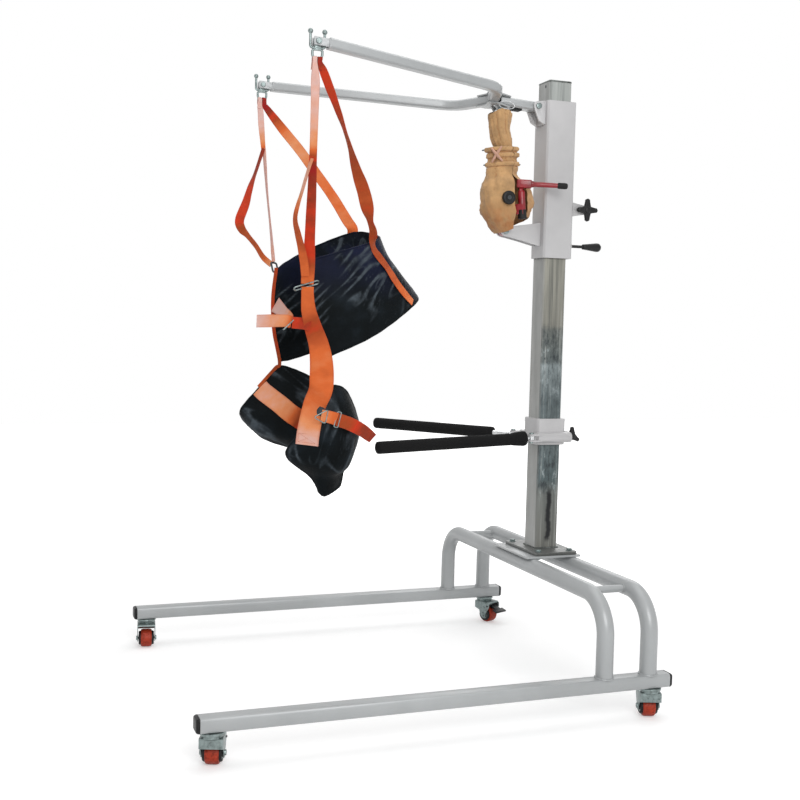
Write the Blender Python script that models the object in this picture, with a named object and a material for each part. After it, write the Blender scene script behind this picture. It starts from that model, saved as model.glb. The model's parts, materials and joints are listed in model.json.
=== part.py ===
"""Gait trainer with an arched wheeled base, a mast, a hydraulic boom and a walking sling.

Metres, +Z up. X runs across the base, +Y points from the open end to the mast end.
The origin is on the floor, at the middle of the whole object's length and width.
"Right" is the +X side, as seen looking along +Y from the open end.
"""

import math

import bmesh
import bpy
from mathutils import Matrix, Vector

# Driving dimensions
GAP = 0.0003                    # clearance left between two touching solids
X_AXIS = Vector((1.0, 0.0, 0.0))
Y_AXIS = Vector((0.0, 1.0, 0.0))
Z_AXIS = Vector((0.0, 0.0, 1.0))

LEG_X = 0.575                   # centre line of each floor leg
LEG_W = 0.050
LEG_H = 0.040
LEG_R = 0.008
LEG_Z = 0.113                   # centre height of a leg
LEG_FRONT_Y = -0.715            # outer face of the front plugs
LEG_REAR_Y = 0.655              # outer face of the rear plugs
TUBE_WALL = 0.0025
PLUG_T = 0.006
PLUG_DEPTH = 0.022

ARCH_R = 0.025                  # outer radius of the arch tubes
ARCH_FRONT_Y = 0.445
ARCH_REAR_Y = 0.589
ARCH_Z = 0.357                  # centre height of the arch bars
ARCH_BEND_R = 0.110
TIE_R = 0.011                   # short tubes that join the two arches
TIE_X = 0.460

MAST_Y = 0.530
MAST_W = 0.080
MAST_WALL = 0.003
MAST_TOP = 1.911
MOUNT_PLATE = (0.250, 0.196, 0.006)
FLANGE = (0.230, 0.150, 0.010)
BOLT_SPAN = (0.190, 0.112)
INDEX_HOLE_R = 0.0065
INDEX_PITCH = 0.050
INDEX_COUNT = 7

SLEEVE_X = 0.0465               # half width of the sliding sleeve
SLEEVE_FRONT = 0.4835
SLEEVE_REAR = 0.5865
SLEEVE_BOTTOM = 1.345
SLEEVE_TOP = 1.845
SLEEVE_WALL = 0.003
PAD_H = 0.024
CLAMP_Y = 0.652                 # cross screw of the sleeve clamp
CLAMP_Z = 1.508
SLEEVE_KNOB_REACH = 0.0375
PLUNGER_Z = 1.389
PLUNGER_TIP_Y = 0.715

BOOM_PIVOT = Vector((0.0, 0.458, 1.826))
BOOM_RISE = math.radians(3.6)
BOOM_H = 0.028
ROOT_W = 0.044
ARM_W = 0.036
ROOT_END = 0.1282               # front end of the root tube, from the pivot
ARM_CORNER = (0.1685, -0.2089)
ARM_END = (0.317, -0.788)
HOOK_BOLT_Y = -0.8205           # bolt that carries each hook, in the boom's own frame
ARM_BEND_R = 0.090
JACK_LUG = (-0.125, -0.028)     # upper jack pin in the boom's own frame
JACK_PIN_R = 0.0050
EYE_SLOT = (-0.0005, 0.0071)    # travel of that pin in the ram's slotted eye, along the jack's Y
EYE_SLOT_R = 0.0060

JACK_PIVOT = Vector((0.0, 0.360, 1.425))
CYLINDER_R = 0.028
RAM_R = 0.012
PUMP_XY = (0.052, 0.044)        # pump barrel axis in the jack's own frame
COVER_T = 0.003
LEVER_DIRECTION = Vector((0.394, 0.912, -0.110)).normalized()
LEVER_LENGTH = 0.128
LEVER_PIN_R = 0.0030

CLEVIS_FACE = 0.0120            # outer faces of the clevis at each arm's end, from its middle
HOOK_REACH = 0.0200             # from the hook's bolt to its upturned prongs
HOOK_BALL_Z = 0.0270
BAIL_R = 0.0140                 # round lower part of the hook, which carries the straps
BAIL_CENTRE = 0.0330            # drop of the bail's centre below the bolt

COLLAR_Z = (0.740, 0.825)
COLLAR_X = 0.050
COLLAR_FRONT = 0.480
COLLAR_REAR = 0.583
COLLAR_BORE = 0.0406
COLLAR_KNOB_Y = 0.625
COLLAR_KNOB_REACH = 0.031
BOSS_X = 0.058
RAIL_Z = 0.765
RAIL_PIVOT = (0.066, 0.450)
RAIL_LENGTH = 0.560
RAIL_ANGLE_RIGHT = math.radians(8.0)
RAIL_ANGLE_LEFT = math.radians(54.0)
RAIL_ROD_R = 0.008
GRIP_R = 0.019

CASTER_LEG_INSET = 0.040        # swivel axis from the leg's outer end
WHEEL_R = 0.030
TYRE_HALF = 0.0180
CORE_HALF = 0.0262
TRAIL = 0.022
RACE_R = 0.032
FORK_HALF = 0.0300
BRAKE_HINGE = (0.0420, -0.0290)  # from the swivel's top, along the trail and down

LEG_BOTTOM = LEG_Z - LEG_H / 2
AXLE_DROP = WHEEL_R - LEG_BOTTOM
ARCH_TOP = ARCH_Z + ARCH_R
PLATE_LOW = ARCH_TOP + GAP
FLANGE_LOW = PLATE_LOW + MOUNT_PLATE[2] + GAP
FLANGE_TOP = FLANGE_LOW + FLANGE[2]
RIGHT_LEFT = (("right", 1.0), ("left", -1.0))


# Materials

def material(name, color, roughness, metallic=0.0):
    made = bpy.data.materials.new(name)
    made.use_nodes = True
    shader = made.node_tree.nodes["Principled BSDF"]
    shader.inputs["Base Color"].default_value = (*color, 1.0)
    shader.inputs["Roughness"].default_value = roughness
    shader.inputs["Metallic"].default_value = metallic
    return made


# Mesh building

def profile_rectangle(width, height, radius=0.0, steps=1):
    """Corner-rounded rectangle, counter-clockwise, centred on zero."""
    if radius <= 0.0:
        half_w, half_h = width / 2, height / 2
        return [(-half_w, -half_h), (half_w, -half_h), (half_w, half_h), (-half_w, half_h)]
    points = []
    for corner in range(4):
        start = corner * math.pi / 2
        cx = (width / 2 - radius) * (1 if corner in (0, 3) else -1)
        cy = (height / 2 - radius) * (1 if corner in (0, 1) else -1)
        for step in range(steps + 1):
            angle = start + step * math.pi / 2 / steps
            points.append((cx + radius * math.cos(angle), cy + radius * math.sin(angle)))
    return points


def profile_circle(radius, steps=16):
    return [(radius * math.cos(2 * math.pi * i / steps), radius * math.sin(2 * math.pi * i / steps))
            for i in range(steps)]


def arc(centre, radius, start, end, steps):
    """Points on an arc in a plane, angles in radians, both ends included."""
    return [(centre[0] + radius * math.cos(start + (end - start) * i / steps),
             centre[1] + radius * math.sin(start + (end - start) * i / steps))
            for i in range(steps + 1)]


def smooth_path(points, steps):
    """Catmull-Rom curve through the given points."""
    points = [Vector(p) for p in points]
    padded = [2 * points[0] - points[1], *points, 2 * points[-1] - points[-2]]
    curve = []
    for i in range(len(points) - 1):
        a, b, c, d = padded[i:i + 4]
        for step in range(steps):
            t = step / steps
            curve.append(0.5 * (2 * b + (c - a) * t + (2 * a - 5 * b + 4 * c - d) * t ** 2
                                + (3 * b - a - 3 * c + d) * t ** 3))
    curve.append(points[-1])
    return curve


def tangents(path):
    found = []
    for i in range(len(path)):
        back = path[i] - path[max(i - 1, 0)]
        ahead = path[min(i + 1, len(path) - 1)] - path[i]
        found.append((back.normalized() + ahead.normalized()).normalized())
    return found


def rings_along(path, profile, up, scales=None):
    """Copies of the profile, square to the path; up is one vector or one for each point."""
    path = [Vector(p) for p in path]
    rings = []
    for i, (point, tangent) in enumerate(zip(path, tangents(path))):
        top = Vector(up[i] if isinstance(up, list) else up)
        side = tangent.cross(top).normalized()
        top = side.cross(tangent)
        scale = scales[i] if scales else 1.0
        rings.append([point + side * u * scale + top * v * scale for u, v in profile])
    return rings


def turned_rings(profile, steps):
    """Rings of a profile of (radius, height) points turned about Z."""
    return [[Vector((r * math.cos(2 * math.pi * i / steps), r * math.sin(2 * math.pi * i / steps), z))
             for i in range(steps)] for r, z in profile]


def add_rings(bm, rings, closed_loop=False):
    """Skin a list of rings; the ends are capped unless the rings form a closed loop."""
    rows = [[bm.verts.new(p) for p in ring] for ring in rings]
    pairs = list(zip(rows, rows[1:]))
    if closed_loop:
        pairs.append((rows[-1], rows[0]))
    for low, high in pairs:
        count = len(low)
        for i in range(count):
            j = (i + 1) % count
            bm.faces.new((low[i], low[j], high[j], high[i]))
    if not closed_loop:
        bm.faces.new(rows[0])
        bm.faces.new(list(reversed(rows[-1])))


def add_polygon(bm, outline, direction):
    """Extrude a closed outline of 3-D points along a vector."""
    offset = Vector(direction)
    base = [Vector(p) for p in outline]
    add_rings(bm, [base, [p + offset for p in base]])


def add_box(bm, low, high):
    outline = [(low[0], low[1], low[2]), (high[0], low[1], low[2]),
               (high[0], high[1], low[2]), (low[0], high[1], low[2])]
    add_polygon(bm, outline, (0, 0, high[2] - low[2]))


def add_cylinder(bm, start, end, radius, steps=16, end_radius=None):
    start, end = Vector(start), Vector(end)
    up = Z_AXIS if abs((end - start).normalized().z) < 0.9 else X_AXIS
    scales = [1.0, (end_radius or radius) / radius]
    add_rings(bm, rings_along([start, end], profile_circle(radius, steps), up, scales))


def add_turned(bm, profile, steps, matrix=None, closed_loop=False):
    rings = turned_rings(profile, steps)
    if matrix:
        rings = [[matrix @ p for p in ring] for ring in rings]
    add_rings(bm, rings, closed_loop)


def add_tube(bm, path, outer, inner, up):
    """Hollow tube, open at both ends."""
    outside = rings_along(path, outer, up)
    inside = rings_along(path, inner, up)
    add_rings(bm, outside + inside[::-1], closed_loop=True)


def grid_normal(grid, i, j):
    rows, columns = len(grid), len(grid[0])
    du = grid[min(i + 1, rows - 1)][j] - grid[max(i - 1, 0)][j]
    dv = grid[i][min(j + 1, columns - 1)] - grid[i][max(j - 1, 0)]
    return du.cross(dv).normalized()


def bulge(grid, i, j):
    """Zero at the rim of a grid, rising steeply to one at its middle."""
    across = math.sin(math.pi * i / (len(grid) - 1))
    along = math.sin(math.pi * j / (len(grid[0]) - 1))
    return max(across * along, 0.0) ** 0.4


def folded(grid, depth, across, along):
    """The same surface with slanting folds; across and along count the folds each way."""
    moved = []
    for i, row in enumerate(grid):
        turn = [2 * math.pi * (across * i / (len(grid) - 1) + along * j / (len(row) - 1))
                for j in range(len(row))]
        moved.append([p + grid_normal(grid, i, j) * depth * math.sin(turn[j]) * bulge(grid, i, j)
                      for j, p in enumerate(row)])
    return moved


def add_sheet(bm, grid, middle, rim):
    """Closed skin about a grid of points, with a thickness for its middle and one for its rim."""
    rows, columns = len(grid), len(grid[0])
    sides = []
    for sign in (1.0, -1.0):
        sides.append([[bm.verts.new(grid[i][j] + grid_normal(grid, i, j) * sign
                                    * (rim + (middle - rim) * bulge(grid, i, j)) / 2)
                       for j in range(columns)] for i in range(rows)])
    front, back = sides
    for i in range(rows - 1):
        for j in range(columns - 1):
            bm.faces.new((front[i][j], front[i + 1][j], front[i + 1][j + 1], front[i][j + 1]))
            bm.faces.new((back[i][j], back[i][j + 1], back[i + 1][j + 1], back[i + 1][j]))
    edge = [(i, 0) for i in range(rows)]
    edge += [(rows - 1, j) for j in range(1, columns)]
    edge += [(i, columns - 1) for i in range(rows - 2, -1, -1)]
    edge += [(0, j) for j in range(columns - 2, 0, -1)]
    for (a, b), (c, d) in zip(edge, edge[1:] + edge[:1]):
        bm.faces.new((front[a][b], front[c][d], back[c][d], back[a][b]))


def sheet_grid(rows, steps_across, steps_along):
    """Smooth surface through rows of control points."""
    along = [smooth_path(row, steps_along) for row in rows]
    columns = [smooth_path([row[j] for row in along], steps_across) for j in range(len(along[0]))]
    return [[columns[j][i] for j in range(len(columns))] for i in range(len(columns[0]))]


def make_mesh(name, build):
    """Mesh from a function that fills a bmesh, with every face pointing out."""
    bm = bmesh.new()
    build(bm)
    bmesh.ops.recalc_face_normals(bm, faces=bm.faces)
    mesh = bpy.data.meshes.new(name)
    bm.to_mesh(mesh)
    bm.free()
    return mesh


def combined(first, second, operation):
    """Boolean of two meshes, returned as one mesh."""
    scene = bpy.context.scene
    pair = [bpy.data.objects.new("operand", mesh) for mesh in (first, second)]
    for part in pair:
        scene.collection.objects.link(part)
    cut = pair[0].modifiers.new("cut", "BOOLEAN")
    cut.operation = operation
    cut.solver = "EXACT"
    cut.object = pair[1]
    graph = bpy.context.evaluated_depsgraph_get()
    result = bpy.data.meshes.new_from_object(pair[0].evaluated_get(graph))
    for part in pair:
        bpy.data.objects.remove(part)
    return result


def union(*builders):
    result = make_mesh("first", builders[0])
    for build in builders[1:]:
        result = combined(result, make_mesh("next", build), "UNION")
    return result


def minus(mesh, *builders):
    for build in builders:
        mesh = combined(mesh, make_mesh("cutter", build), "DIFFERENCE")
    return mesh


def empty(name, location, rotation=(0.0, 0.0, 0.0), parent=None):
    made = bpy.data.objects.new(name, None)
    made.empty_display_size = 0.03
    made.location = location
    made.rotation_euler = rotation
    made.parent = parent
    bpy.context.scene.collection.objects.link(made)
    return made


def part(name, mesh, look, parent=None, origin=None):
    """One sub-part. Mesh points are in the parent's frame, or in world metres about an origin."""
    if not isinstance(mesh, bpy.types.Mesh):
        mesh = make_mesh(name, mesh)
    mesh.materials.clear()
    mesh.materials.append(look)
    mesh.shade_smooth()
    mesh.set_sharp_from_angle(angle=math.radians(38))
    made = bpy.data.objects.new(name, mesh)
    if origin is not None:
        mesh.transform(Matrix.Translation(-Vector(origin)))
        if parent is None:
            made.location = origin
    made.parent = parent
    bpy.context.scene.collection.objects.link(made)
    return made


# Base frame

def build_legs(paint, plug_look):
    outer = profile_rectangle(LEG_W, LEG_H, LEG_R, 2)
    inner = profile_rectangle(LEG_W - 2 * TUBE_WALL, LEG_H - 2 * TUBE_WALL, LEG_R - TUBE_WALL, 2)
    ends = (LEG_FRONT_Y + PLUG_T + GAP, LEG_REAR_Y - PLUG_T - GAP)
    for side, sign in RIGHT_LEFT:
        x = sign * LEG_X
        path = [Vector((x, ends[0], LEG_Z)), Vector((x, ends[1], LEG_Z))]
        part("leg_" + side, lambda bm, path=path: add_tube(bm, path, outer, inner, Z_AXIS), paint)

    stem = profile_rectangle(LEG_W - 2 * TUBE_WALL - 0.0008, LEG_H - 2 * TUBE_WALL - 0.0008, 0.005, 2)

    def plug(x, face, inward):
        def build(bm):
            stations = ((0.0, outer, 0.90), (0.0015, outer, 1.0), (PLUG_T, outer, 1.0),
                        (PLUG_T, stem, 1.0), (PLUG_DEPTH, stem, 0.97))
            rings = []
            for depth, shape, scale in stations:
                y = face + inward * depth
                rings.append([Vector((x + u * scale, y, LEG_Z + v * scale)) for u, v in shape])
            add_rings(bm, rings)
        return build

    for side, sign in RIGHT_LEFT:
        for end, face, inward in (("front", LEG_FRONT_Y, 1.0), ("rear", LEG_REAR_Y, -1.0)):
            part(f"end_plug_{end}_{side}", plug(sign * LEG_X, face, inward), plug_look)


def arch_path(y):
    """Centre line of an arch, from the top of the right leg over to the left leg."""
    foot = LEG_Z + LEG_H / 2 + GAP
    corner_x = LEG_X - ARCH_BEND_R
    corner_z = ARCH_Z - ARCH_BEND_R
    flat = [(LEG_X, foot)]
    flat += arc((corner_x, corner_z), ARCH_BEND_R, 0.0, math.pi / 2, 5)
    flat += arc((-corner_x, corner_z), ARCH_BEND_R, math.pi / 2, math.pi, 5)
    flat.append((-LEG_X, foot))
    return [Vector((x, y, z)) for x, z in flat]


def build_arches(paint):
    """Two arches of round tube; the ties between them are welded to the rear one."""
    outer = profile_circle(ARCH_R, 12)
    inner = profile_circle(ARCH_R - TUBE_WALL, 12)

    def arch(y):
        return lambda bm: add_tube(bm, arch_path(y), outer, inner, Y_AXIS)

    def tie(x):
        """Tube with its front end scooped to sit against the round front bar."""
        def build(bm):
            reach = ARCH_R + GAP
            rear = ARCH_REAR_Y - ARCH_R + 0.0015
            rings = []
            for radius, order in ((TIE_R, 1), (TIE_R - 0.002, -1)):
                front_end = [Vector((x + u, ARCH_FRONT_Y + math.sqrt(reach ** 2 - v ** 2), ARCH_Z + v))
                             for u, v in profile_circle(radius, 8)]
                rear_end = [Vector((x + u, rear, ARCH_Z + v)) for u, v in profile_circle(radius, 8)]
                rings += [front_end, rear_end][::order]
            add_rings(bm, rings, closed_loop=True)
        return build

    part("arch_front", arch(ARCH_FRONT_Y), paint)
    part("arch_rear", union(arch(ARCH_REAR_Y), tie(TIE_X), tie(-TIE_X)), paint)
    plate_y = (ARCH_FRONT_Y + ARCH_REAR_Y) / 2
    mount = make_mesh("mount", lambda bm: flat_plate(bm, MOUNT_PLATE, plate_y, PLATE_LOW))
    part("mast_mount_plate", minus(mount, base_bolt_holes), paint)


def base_bolt_places():
    return [(sx * BOLT_SPAN[0] / 2, MAST_Y + sy * BOLT_SPAN[1] / 2) for sx in (1, -1) for sy in (1, -1)]


def base_bolt_holes(bm):
    for x, y in base_bolt_places():
        add_cylinder(bm, (x, y, PLATE_LOW - 0.01), (x, y, FLANGE_LOW + 0.03), 0.0066, 8)


def flat_plate(bm, size, y, low):
    outline = [(u, y + v, low) for u, v in profile_rectangle(size[0], size[1], 0.008, 2)]
    add_polygon(bm, outline, (0, 0, size[2]))


def build_mast(galvanised):
    """Square mast with its foot flange, and the plug in its top."""
    outer = profile_rectangle(MAST_W, MAST_W, 0.005)
    inner = profile_rectangle(MAST_W - 2 * MAST_WALL, MAST_W - 2 * MAST_WALL, 0.002)
    path = [Vector((0, MAST_Y, FLANGE_TOP - 0.001)), Vector((0, MAST_Y, MAST_TOP - PLUG_T - GAP))]

    def tube(bm):
        add_tube(bm, path, outer, inner, Y_AXIS)

    def flange(bm):
        flat_plate(bm, FLANGE, MAST_Y, FLANGE_LOW)

    def drain(bm):
        add_cylinder(bm, (0, MAST_Y, FLANGE_LOW - 0.01), (0, MAST_Y, FLANGE_TOP + 0.01), 0.012, 12)

    def index_holes(bm):
        for i in range(INDEX_COUNT):
            z = PLUNGER_Z - INDEX_PITCH * (i + 0.5)
            rear = MAST_Y + MAST_W / 2
            add_cylinder(bm, (0, rear - 0.012, z), (0, rear + 0.012, z), INDEX_HOLE_R, 8)

    part("mast", minus(union(tube, flange), base_bolt_holes, drain, index_holes), galvanised)

    def cap(bm):
        stem = MAST_W - 2 * MAST_WALL - 0.0008
        stations = ((MAST_TOP, MAST_W - 0.004), (MAST_TOP - 0.002, MAST_W), (MAST_TOP - PLUG_T, MAST_W),
                    (MAST_TOP - PLUG_T, stem), (MAST_TOP - PLUG_DEPTH, stem - 0.001))
        rings = [[Vector((u, MAST_Y + v, z)) for u, v in profile_rectangle(width, width, 0.003)]
                 for z, width in stations]
        add_rings(bm, rings)

    part("mast_top_plug", cap, galvanised)


# Casters

def caster_places():
    """Name, swivel centre and heading of each caster; the heading points to the trailing side."""
    front = LEG_FRONT_Y + CASTER_LEG_INSET
    rear = LEG_REAR_Y - 0.056
    return (("front_right", LEG_X, front, math.radians(160.0), True),
            ("front_left", -LEG_X, front, math.radians(-8.0), False),
            ("rear_right", LEG_X, rear, math.radians(160.0), False),
            ("rear_left", -LEG_X, rear, math.radians(23.0), True))


def fork_mesh(braked):
    """Pressed fork under its swivel race, with the wheel space cut out and the axle fixed across it."""
    top = -0.0150
    profile = [(-0.0195, top), (0.0420, top), (0.0490, -0.0210), (0.0500, -0.0340), (0.0365, -0.0560)]
    profile += arc((TRAIL, AXLE_DROP), 0.0130, 0.2, -math.pi * 0.80, 5)
    profile += [(0.0020, -0.0480), (-0.0195, -0.0410)]

    def side(bm):
        add_polygon(bm, [(x, -FORK_HALF, z) for x, z in profile], (0, 2 * FORK_HALF, 0))

    def race(bm):
        add_turned(bm, [(RACE_R - 0.0015, -GAP), (RACE_R, -0.0018), (RACE_R, -0.0060), (0.0285, -0.0075),
                        (0.0285, -0.0140), (0.0250, -0.0170)], 12)

    def wheel_space(bm):
        """Open behind, below and, under the front skirt, also in front."""
        outline = [(-0.0170, -0.0190), (0.0800, -0.0190), (0.0800, -0.1100), (-0.0600, -0.1100),
                   (-0.0600, -0.0425), (-0.0170, -0.0425)]
        half = FORK_HALF - 0.0025
        add_polygon(bm, [(x, -half, z) for x, z in outline], (0, 2 * half, 0))

    def axle(bm):
        matrix = Matrix.Translation((TRAIL, 0, AXLE_DROP)) @ Matrix.Rotation(math.pi / 2, 4, "X")
        out = -FORK_HALF
        ends = [(0.0070, out - 0.0040), (0.0080, out - 0.0034), (0.0080, out + 0.0005),
                (0.0040, out + 0.0005)]
        add_turned(bm, ends + [(r, -z) for r, z in reversed(ends)], 8, matrix)

    def pedal_holes(bm):
        x, z = BRAKE_HINGE
        add_cylinder(bm, (x, -0.05, z), (x, 0.05, z), 0.0036, 8)

    mesh = combined(union(side, race), make_mesh("space", wheel_space), "DIFFERENCE")
    mesh = combined(mesh, make_mesh("axle", axle), "UNION")
    return minus(mesh, pedal_holes) if braked else mesh


def build_casters(zinc, wheel_look, tyre_look, black):
    forks = {braked: fork_mesh(braked) for braked in (True, False)}
    spin = Matrix.Rotation(math.pi / 2, 4, "X")
    core = [(0.0043, CORE_HALF), (0.0110, CORE_HALF), (0.0236, TYRE_HALF + 0.0008)]
    core = core + [(r, -z) for r, z in reversed(core)]
    tread = [(0.0239, TYRE_HALF), (0.0262, TYRE_HALF), (0.0288, TYRE_HALF - 0.0035), (WHEEL_R, 0.0075)]
    tread = tread + [(r, -z) for r, z in reversed(tread)]
    core_mesh = make_mesh("core", lambda bm: add_turned(bm, core, 16, spin, closed_loop=True))
    tyre_mesh = make_mesh("tyre", lambda bm: add_turned(bm, tread, 16, spin, closed_loop=True))

    def pedal_arm(bm):
        outline = [(-0.0040, -0.0030), (0.0035, -0.0040), (0.0200, -0.0085), (0.0300, -0.0125),
                   (0.0300, -0.0080), (0.0200, -0.0035), (0.0040, 0.0030), (-0.0040, 0.0030)]
        add_polygon(bm, [(x, -0.0130, z) for x, z in outline], (0, 0.0260, 0))

    def pedal_tread(bm):
        """Wide foot plate beyond the wheel."""
        outline = [(0.0260, -0.0075), (0.0290, -0.0120), (0.0440, -0.0190), (0.0470, -0.0150),
                   (0.0430, -0.0125)]
        add_polygon(bm, [(x, -0.0270, z) for x, z in outline], (0, 0.0540, 0))

    def pedal_pin(bm):
        add_cylinder(bm, (0, -FORK_HALF - 0.0012, 0), (0, FORK_HALF + 0.0012, 0), 0.0030, 8)

    pedal = union(pedal_arm, pedal_tread, pedal_pin)
    for name, x, y, heading, braked in caster_places():
        swivel = empty("caster_" + name + "_swivel", (x, y, LEG_BOTTOM), (0, 0, heading))
        part("caster_fork_" + name, forks[braked], zinc, swivel)
        spindle = empty("caster_" + name + "_axle", (TRAIL, 0, AXLE_DROP), parent=swivel)
        part("wheel_core_" + name, core_mesh, wheel_look, spindle)
        part("tyre_" + name, tyre_mesh, tyre_look, spindle)
        if braked:
            hinge = empty("brake_" + name + "_hinge", (BRAKE_HINGE[0], 0, BRAKE_HINGE[1]), parent=swivel)
            part("brake_pedal_" + name, pedal, black, hinge)


# Sliding sleeve on the mast

def build_sleeve(paint, nylon, black):
    mid_y = (SLEEVE_FRONT + SLEEVE_REAR) / 2
    depth = SLEEVE_REAR - SLEEVE_FRONT
    width = 2 * SLEEVE_X
    outer = profile_rectangle(width, depth, 0.006)
    inner = profile_rectangle(width - 2 * SLEEVE_WALL, depth - 2 * SLEEVE_WALL, 0.003)

    def shell(bm):
        path = [Vector((0, mid_y, SLEEVE_BOTTOM)), Vector((0, mid_y, SLEEVE_TOP))]
        add_tube(bm, path, [(u, v) for u, v in outer], inner, Y_AXIS)

    def slit(bm):
        add_box(bm, (-0.002, SLEEVE_REAR - 0.010, CLAMP_Z - 0.075),
                (0.002, SLEEVE_REAR + 0.01, CLAMP_Z + 0.075))

    def clamp_ear(low_x):
        """One of the two ears that a cross screw draws together beside the slit."""
        def build(bm):
            outline = [(SLEEVE_REAR - 0.001, CLAMP_Z - 0.026)]
            outline += arc((CLAMP_Y, CLAMP_Z), 0.013, -math.pi / 2 + 0.15, math.pi / 2 - 0.15, 6)
            outline.append((SLEEVE_REAR - 0.001, CLAMP_Z + 0.026))
            add_polygon(bm, [(low_x, y, z) for y, z in outline], (0.0060, 0, 0))
        return build

    def weld_nut(bm):
        add_turned(bm, [(0.0100, -0.0190), (0.0100, -0.0100)], 6,
                   Matrix.Translation((0, CLAMP_Y, CLAMP_Z)) @ Matrix.Rotation(math.pi / 2, 4, "Y"))

    def screw_hole(bm):
        add_cylinder(bm, (-0.03, CLAMP_Y, CLAMP_Z), (0.03, CLAMP_Y, CLAMP_Z), 0.0045, 10)

    def plunger_housing(bm):
        place = Matrix.Translation((0, SLEEVE_REAR - 0.001, PLUNGER_Z))
        matrix = place @ Matrix.Rotation(-math.pi / 2, 4, "X")
        add_turned(bm, [(0.0130, 0.0), (0.0130, 0.0070), (0.0085, 0.0070), (0.0085, 0.0210)], 14, matrix)

    def plunger_bore(bm):
        add_cylinder(bm, (0, SLEEVE_REAR - 0.02, PLUNGER_Z), (0, SLEEVE_REAR + 0.04, PLUNGER_Z), 0.0052, 12)

    body = union(shell, clamp_ear(0.0050), clamp_ear(-0.0110), weld_nut, plunger_housing)
    part("sleeve", minus(body, slit, plunger_bore, screw_hole), paint)

    def guide_ring(low):
        """Ring of slide pad, thick on the rear side."""
        def build(bm):
            wall = 2 * SLEEVE_WALL + 2 * GAP
            room = profile_rectangle(width - wall, depth - wall, 0.003)
            bore = profile_rectangle(MAST_W + 0.0009, MAST_W + 0.0009, 0.0052)
            outside = [[Vector((u, mid_y + v, z)) for u, v in room] for z in (low, low + PAD_H)]
            inside = [[Vector((u, MAST_Y + v, z)) for u, v in bore] for z in (low + PAD_H, low)]
            add_rings(bm, outside + inside, closed_loop=True)
        return build

    def guide_strip(sign):
        """Strip that joins the two rings along a side wall of the mast."""
        inner_x, outer_x = MAST_W / 2 + 0.00045, SLEEVE_X - SLEEVE_WALL - GAP
        low_x, high_x = sorted((sign * inner_x, sign * outer_x))
        return lambda bm: add_box(bm, (low_x, MAST_Y - 0.012, low_ring + 0.001),
                                  (high_x, MAST_Y + 0.012, high_ring + 0.001))

    low_ring, high_ring = SLEEVE_BOTTOM + 0.002, SLEEVE_TOP - 0.002 - PAD_H
    liner = union(guide_ring(low_ring), guide_ring(high_ring), guide_strip(1), guide_strip(-1))
    part("sleeve_liner", liner, nylon)

    knob_axis = empty("sleeve_knob_axis", (0, CLAMP_Y, CLAMP_Z))
    knob = lobed_knob(4, SLEEVE_KNOB_REACH, 0.0085, 0.0118, 0.026, 0.0040, -0.024)
    part("sleeve_clamp_knob", knob, black, knob_axis)

    def plunger(bm):
        """Pin that rides on the mast's rear face, with a tapered pull handle."""
        nose = MAST_Y + MAST_W / 2 + GAP
        handle = PLUNGER_TIP_Y - 0.066
        matrix = Matrix.Translation((0, 0, PLUNGER_Z)) @ Matrix.Rotation(-math.pi / 2, 4, "X")
        profile = [(0.0030, nose), (0.0049, nose + 0.003), (0.0049, handle), (0.0085, handle + 0.001),
                   (0.0095, handle + 0.012), (0.0145, handle + 0.052), (0.0140, handle + 0.060),
                   (0.0090, PLUNGER_TIP_Y)]
        add_turned(bm, profile, 12, matrix)

    part("index_plunger", plunger, black, empty("plunger_axis", (0, 0.57, PLUNGER_Z)), (0, 0.57, PLUNGER_Z))


def lobed_knob(lobes, reach, lobe_r, near, far, screw_r, screw_end):
    """Star knob turned about X, with its screw; near and far are its faces along X."""
    steps = 4

    def star(bm):
        waist = reach * 0.42
        outline = []
        for lobe in range(lobes):
            middle = 2 * math.pi * lobe / lobes + math.pi / 2
            tip = (math.cos(middle) * (reach - lobe_r), math.sin(middle) * (reach - lobe_r))
            outline += arc(tip, lobe_r, middle - math.pi * 0.62, middle + math.pi * 0.62, steps)
            valley = middle + math.pi / lobes
            outline.append((math.cos(valley) * waist, math.sin(valley) * waist))
        shrink = 0.90
        rings = []
        for x, scale in ((near + 0.004, 1.0), (far - 0.002, 1.0), (far, shrink)):
            rings.append([Vector((x, y * scale, z * scale)) for y, z in outline])
        add_rings(bm, rings)

    def hub(bm):
        matrix = Matrix.Rotation(math.pi / 2, 4, "Y")
        profile = [(screw_r, screw_end), (screw_r, near), (0.0090, near), (0.0110, near + 0.006),
                   (0.0110, far + 0.0015), (0.0070, far + 0.0035)]
        add_turned(bm, profile, 12, matrix)

    return union(star, hub)


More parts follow.
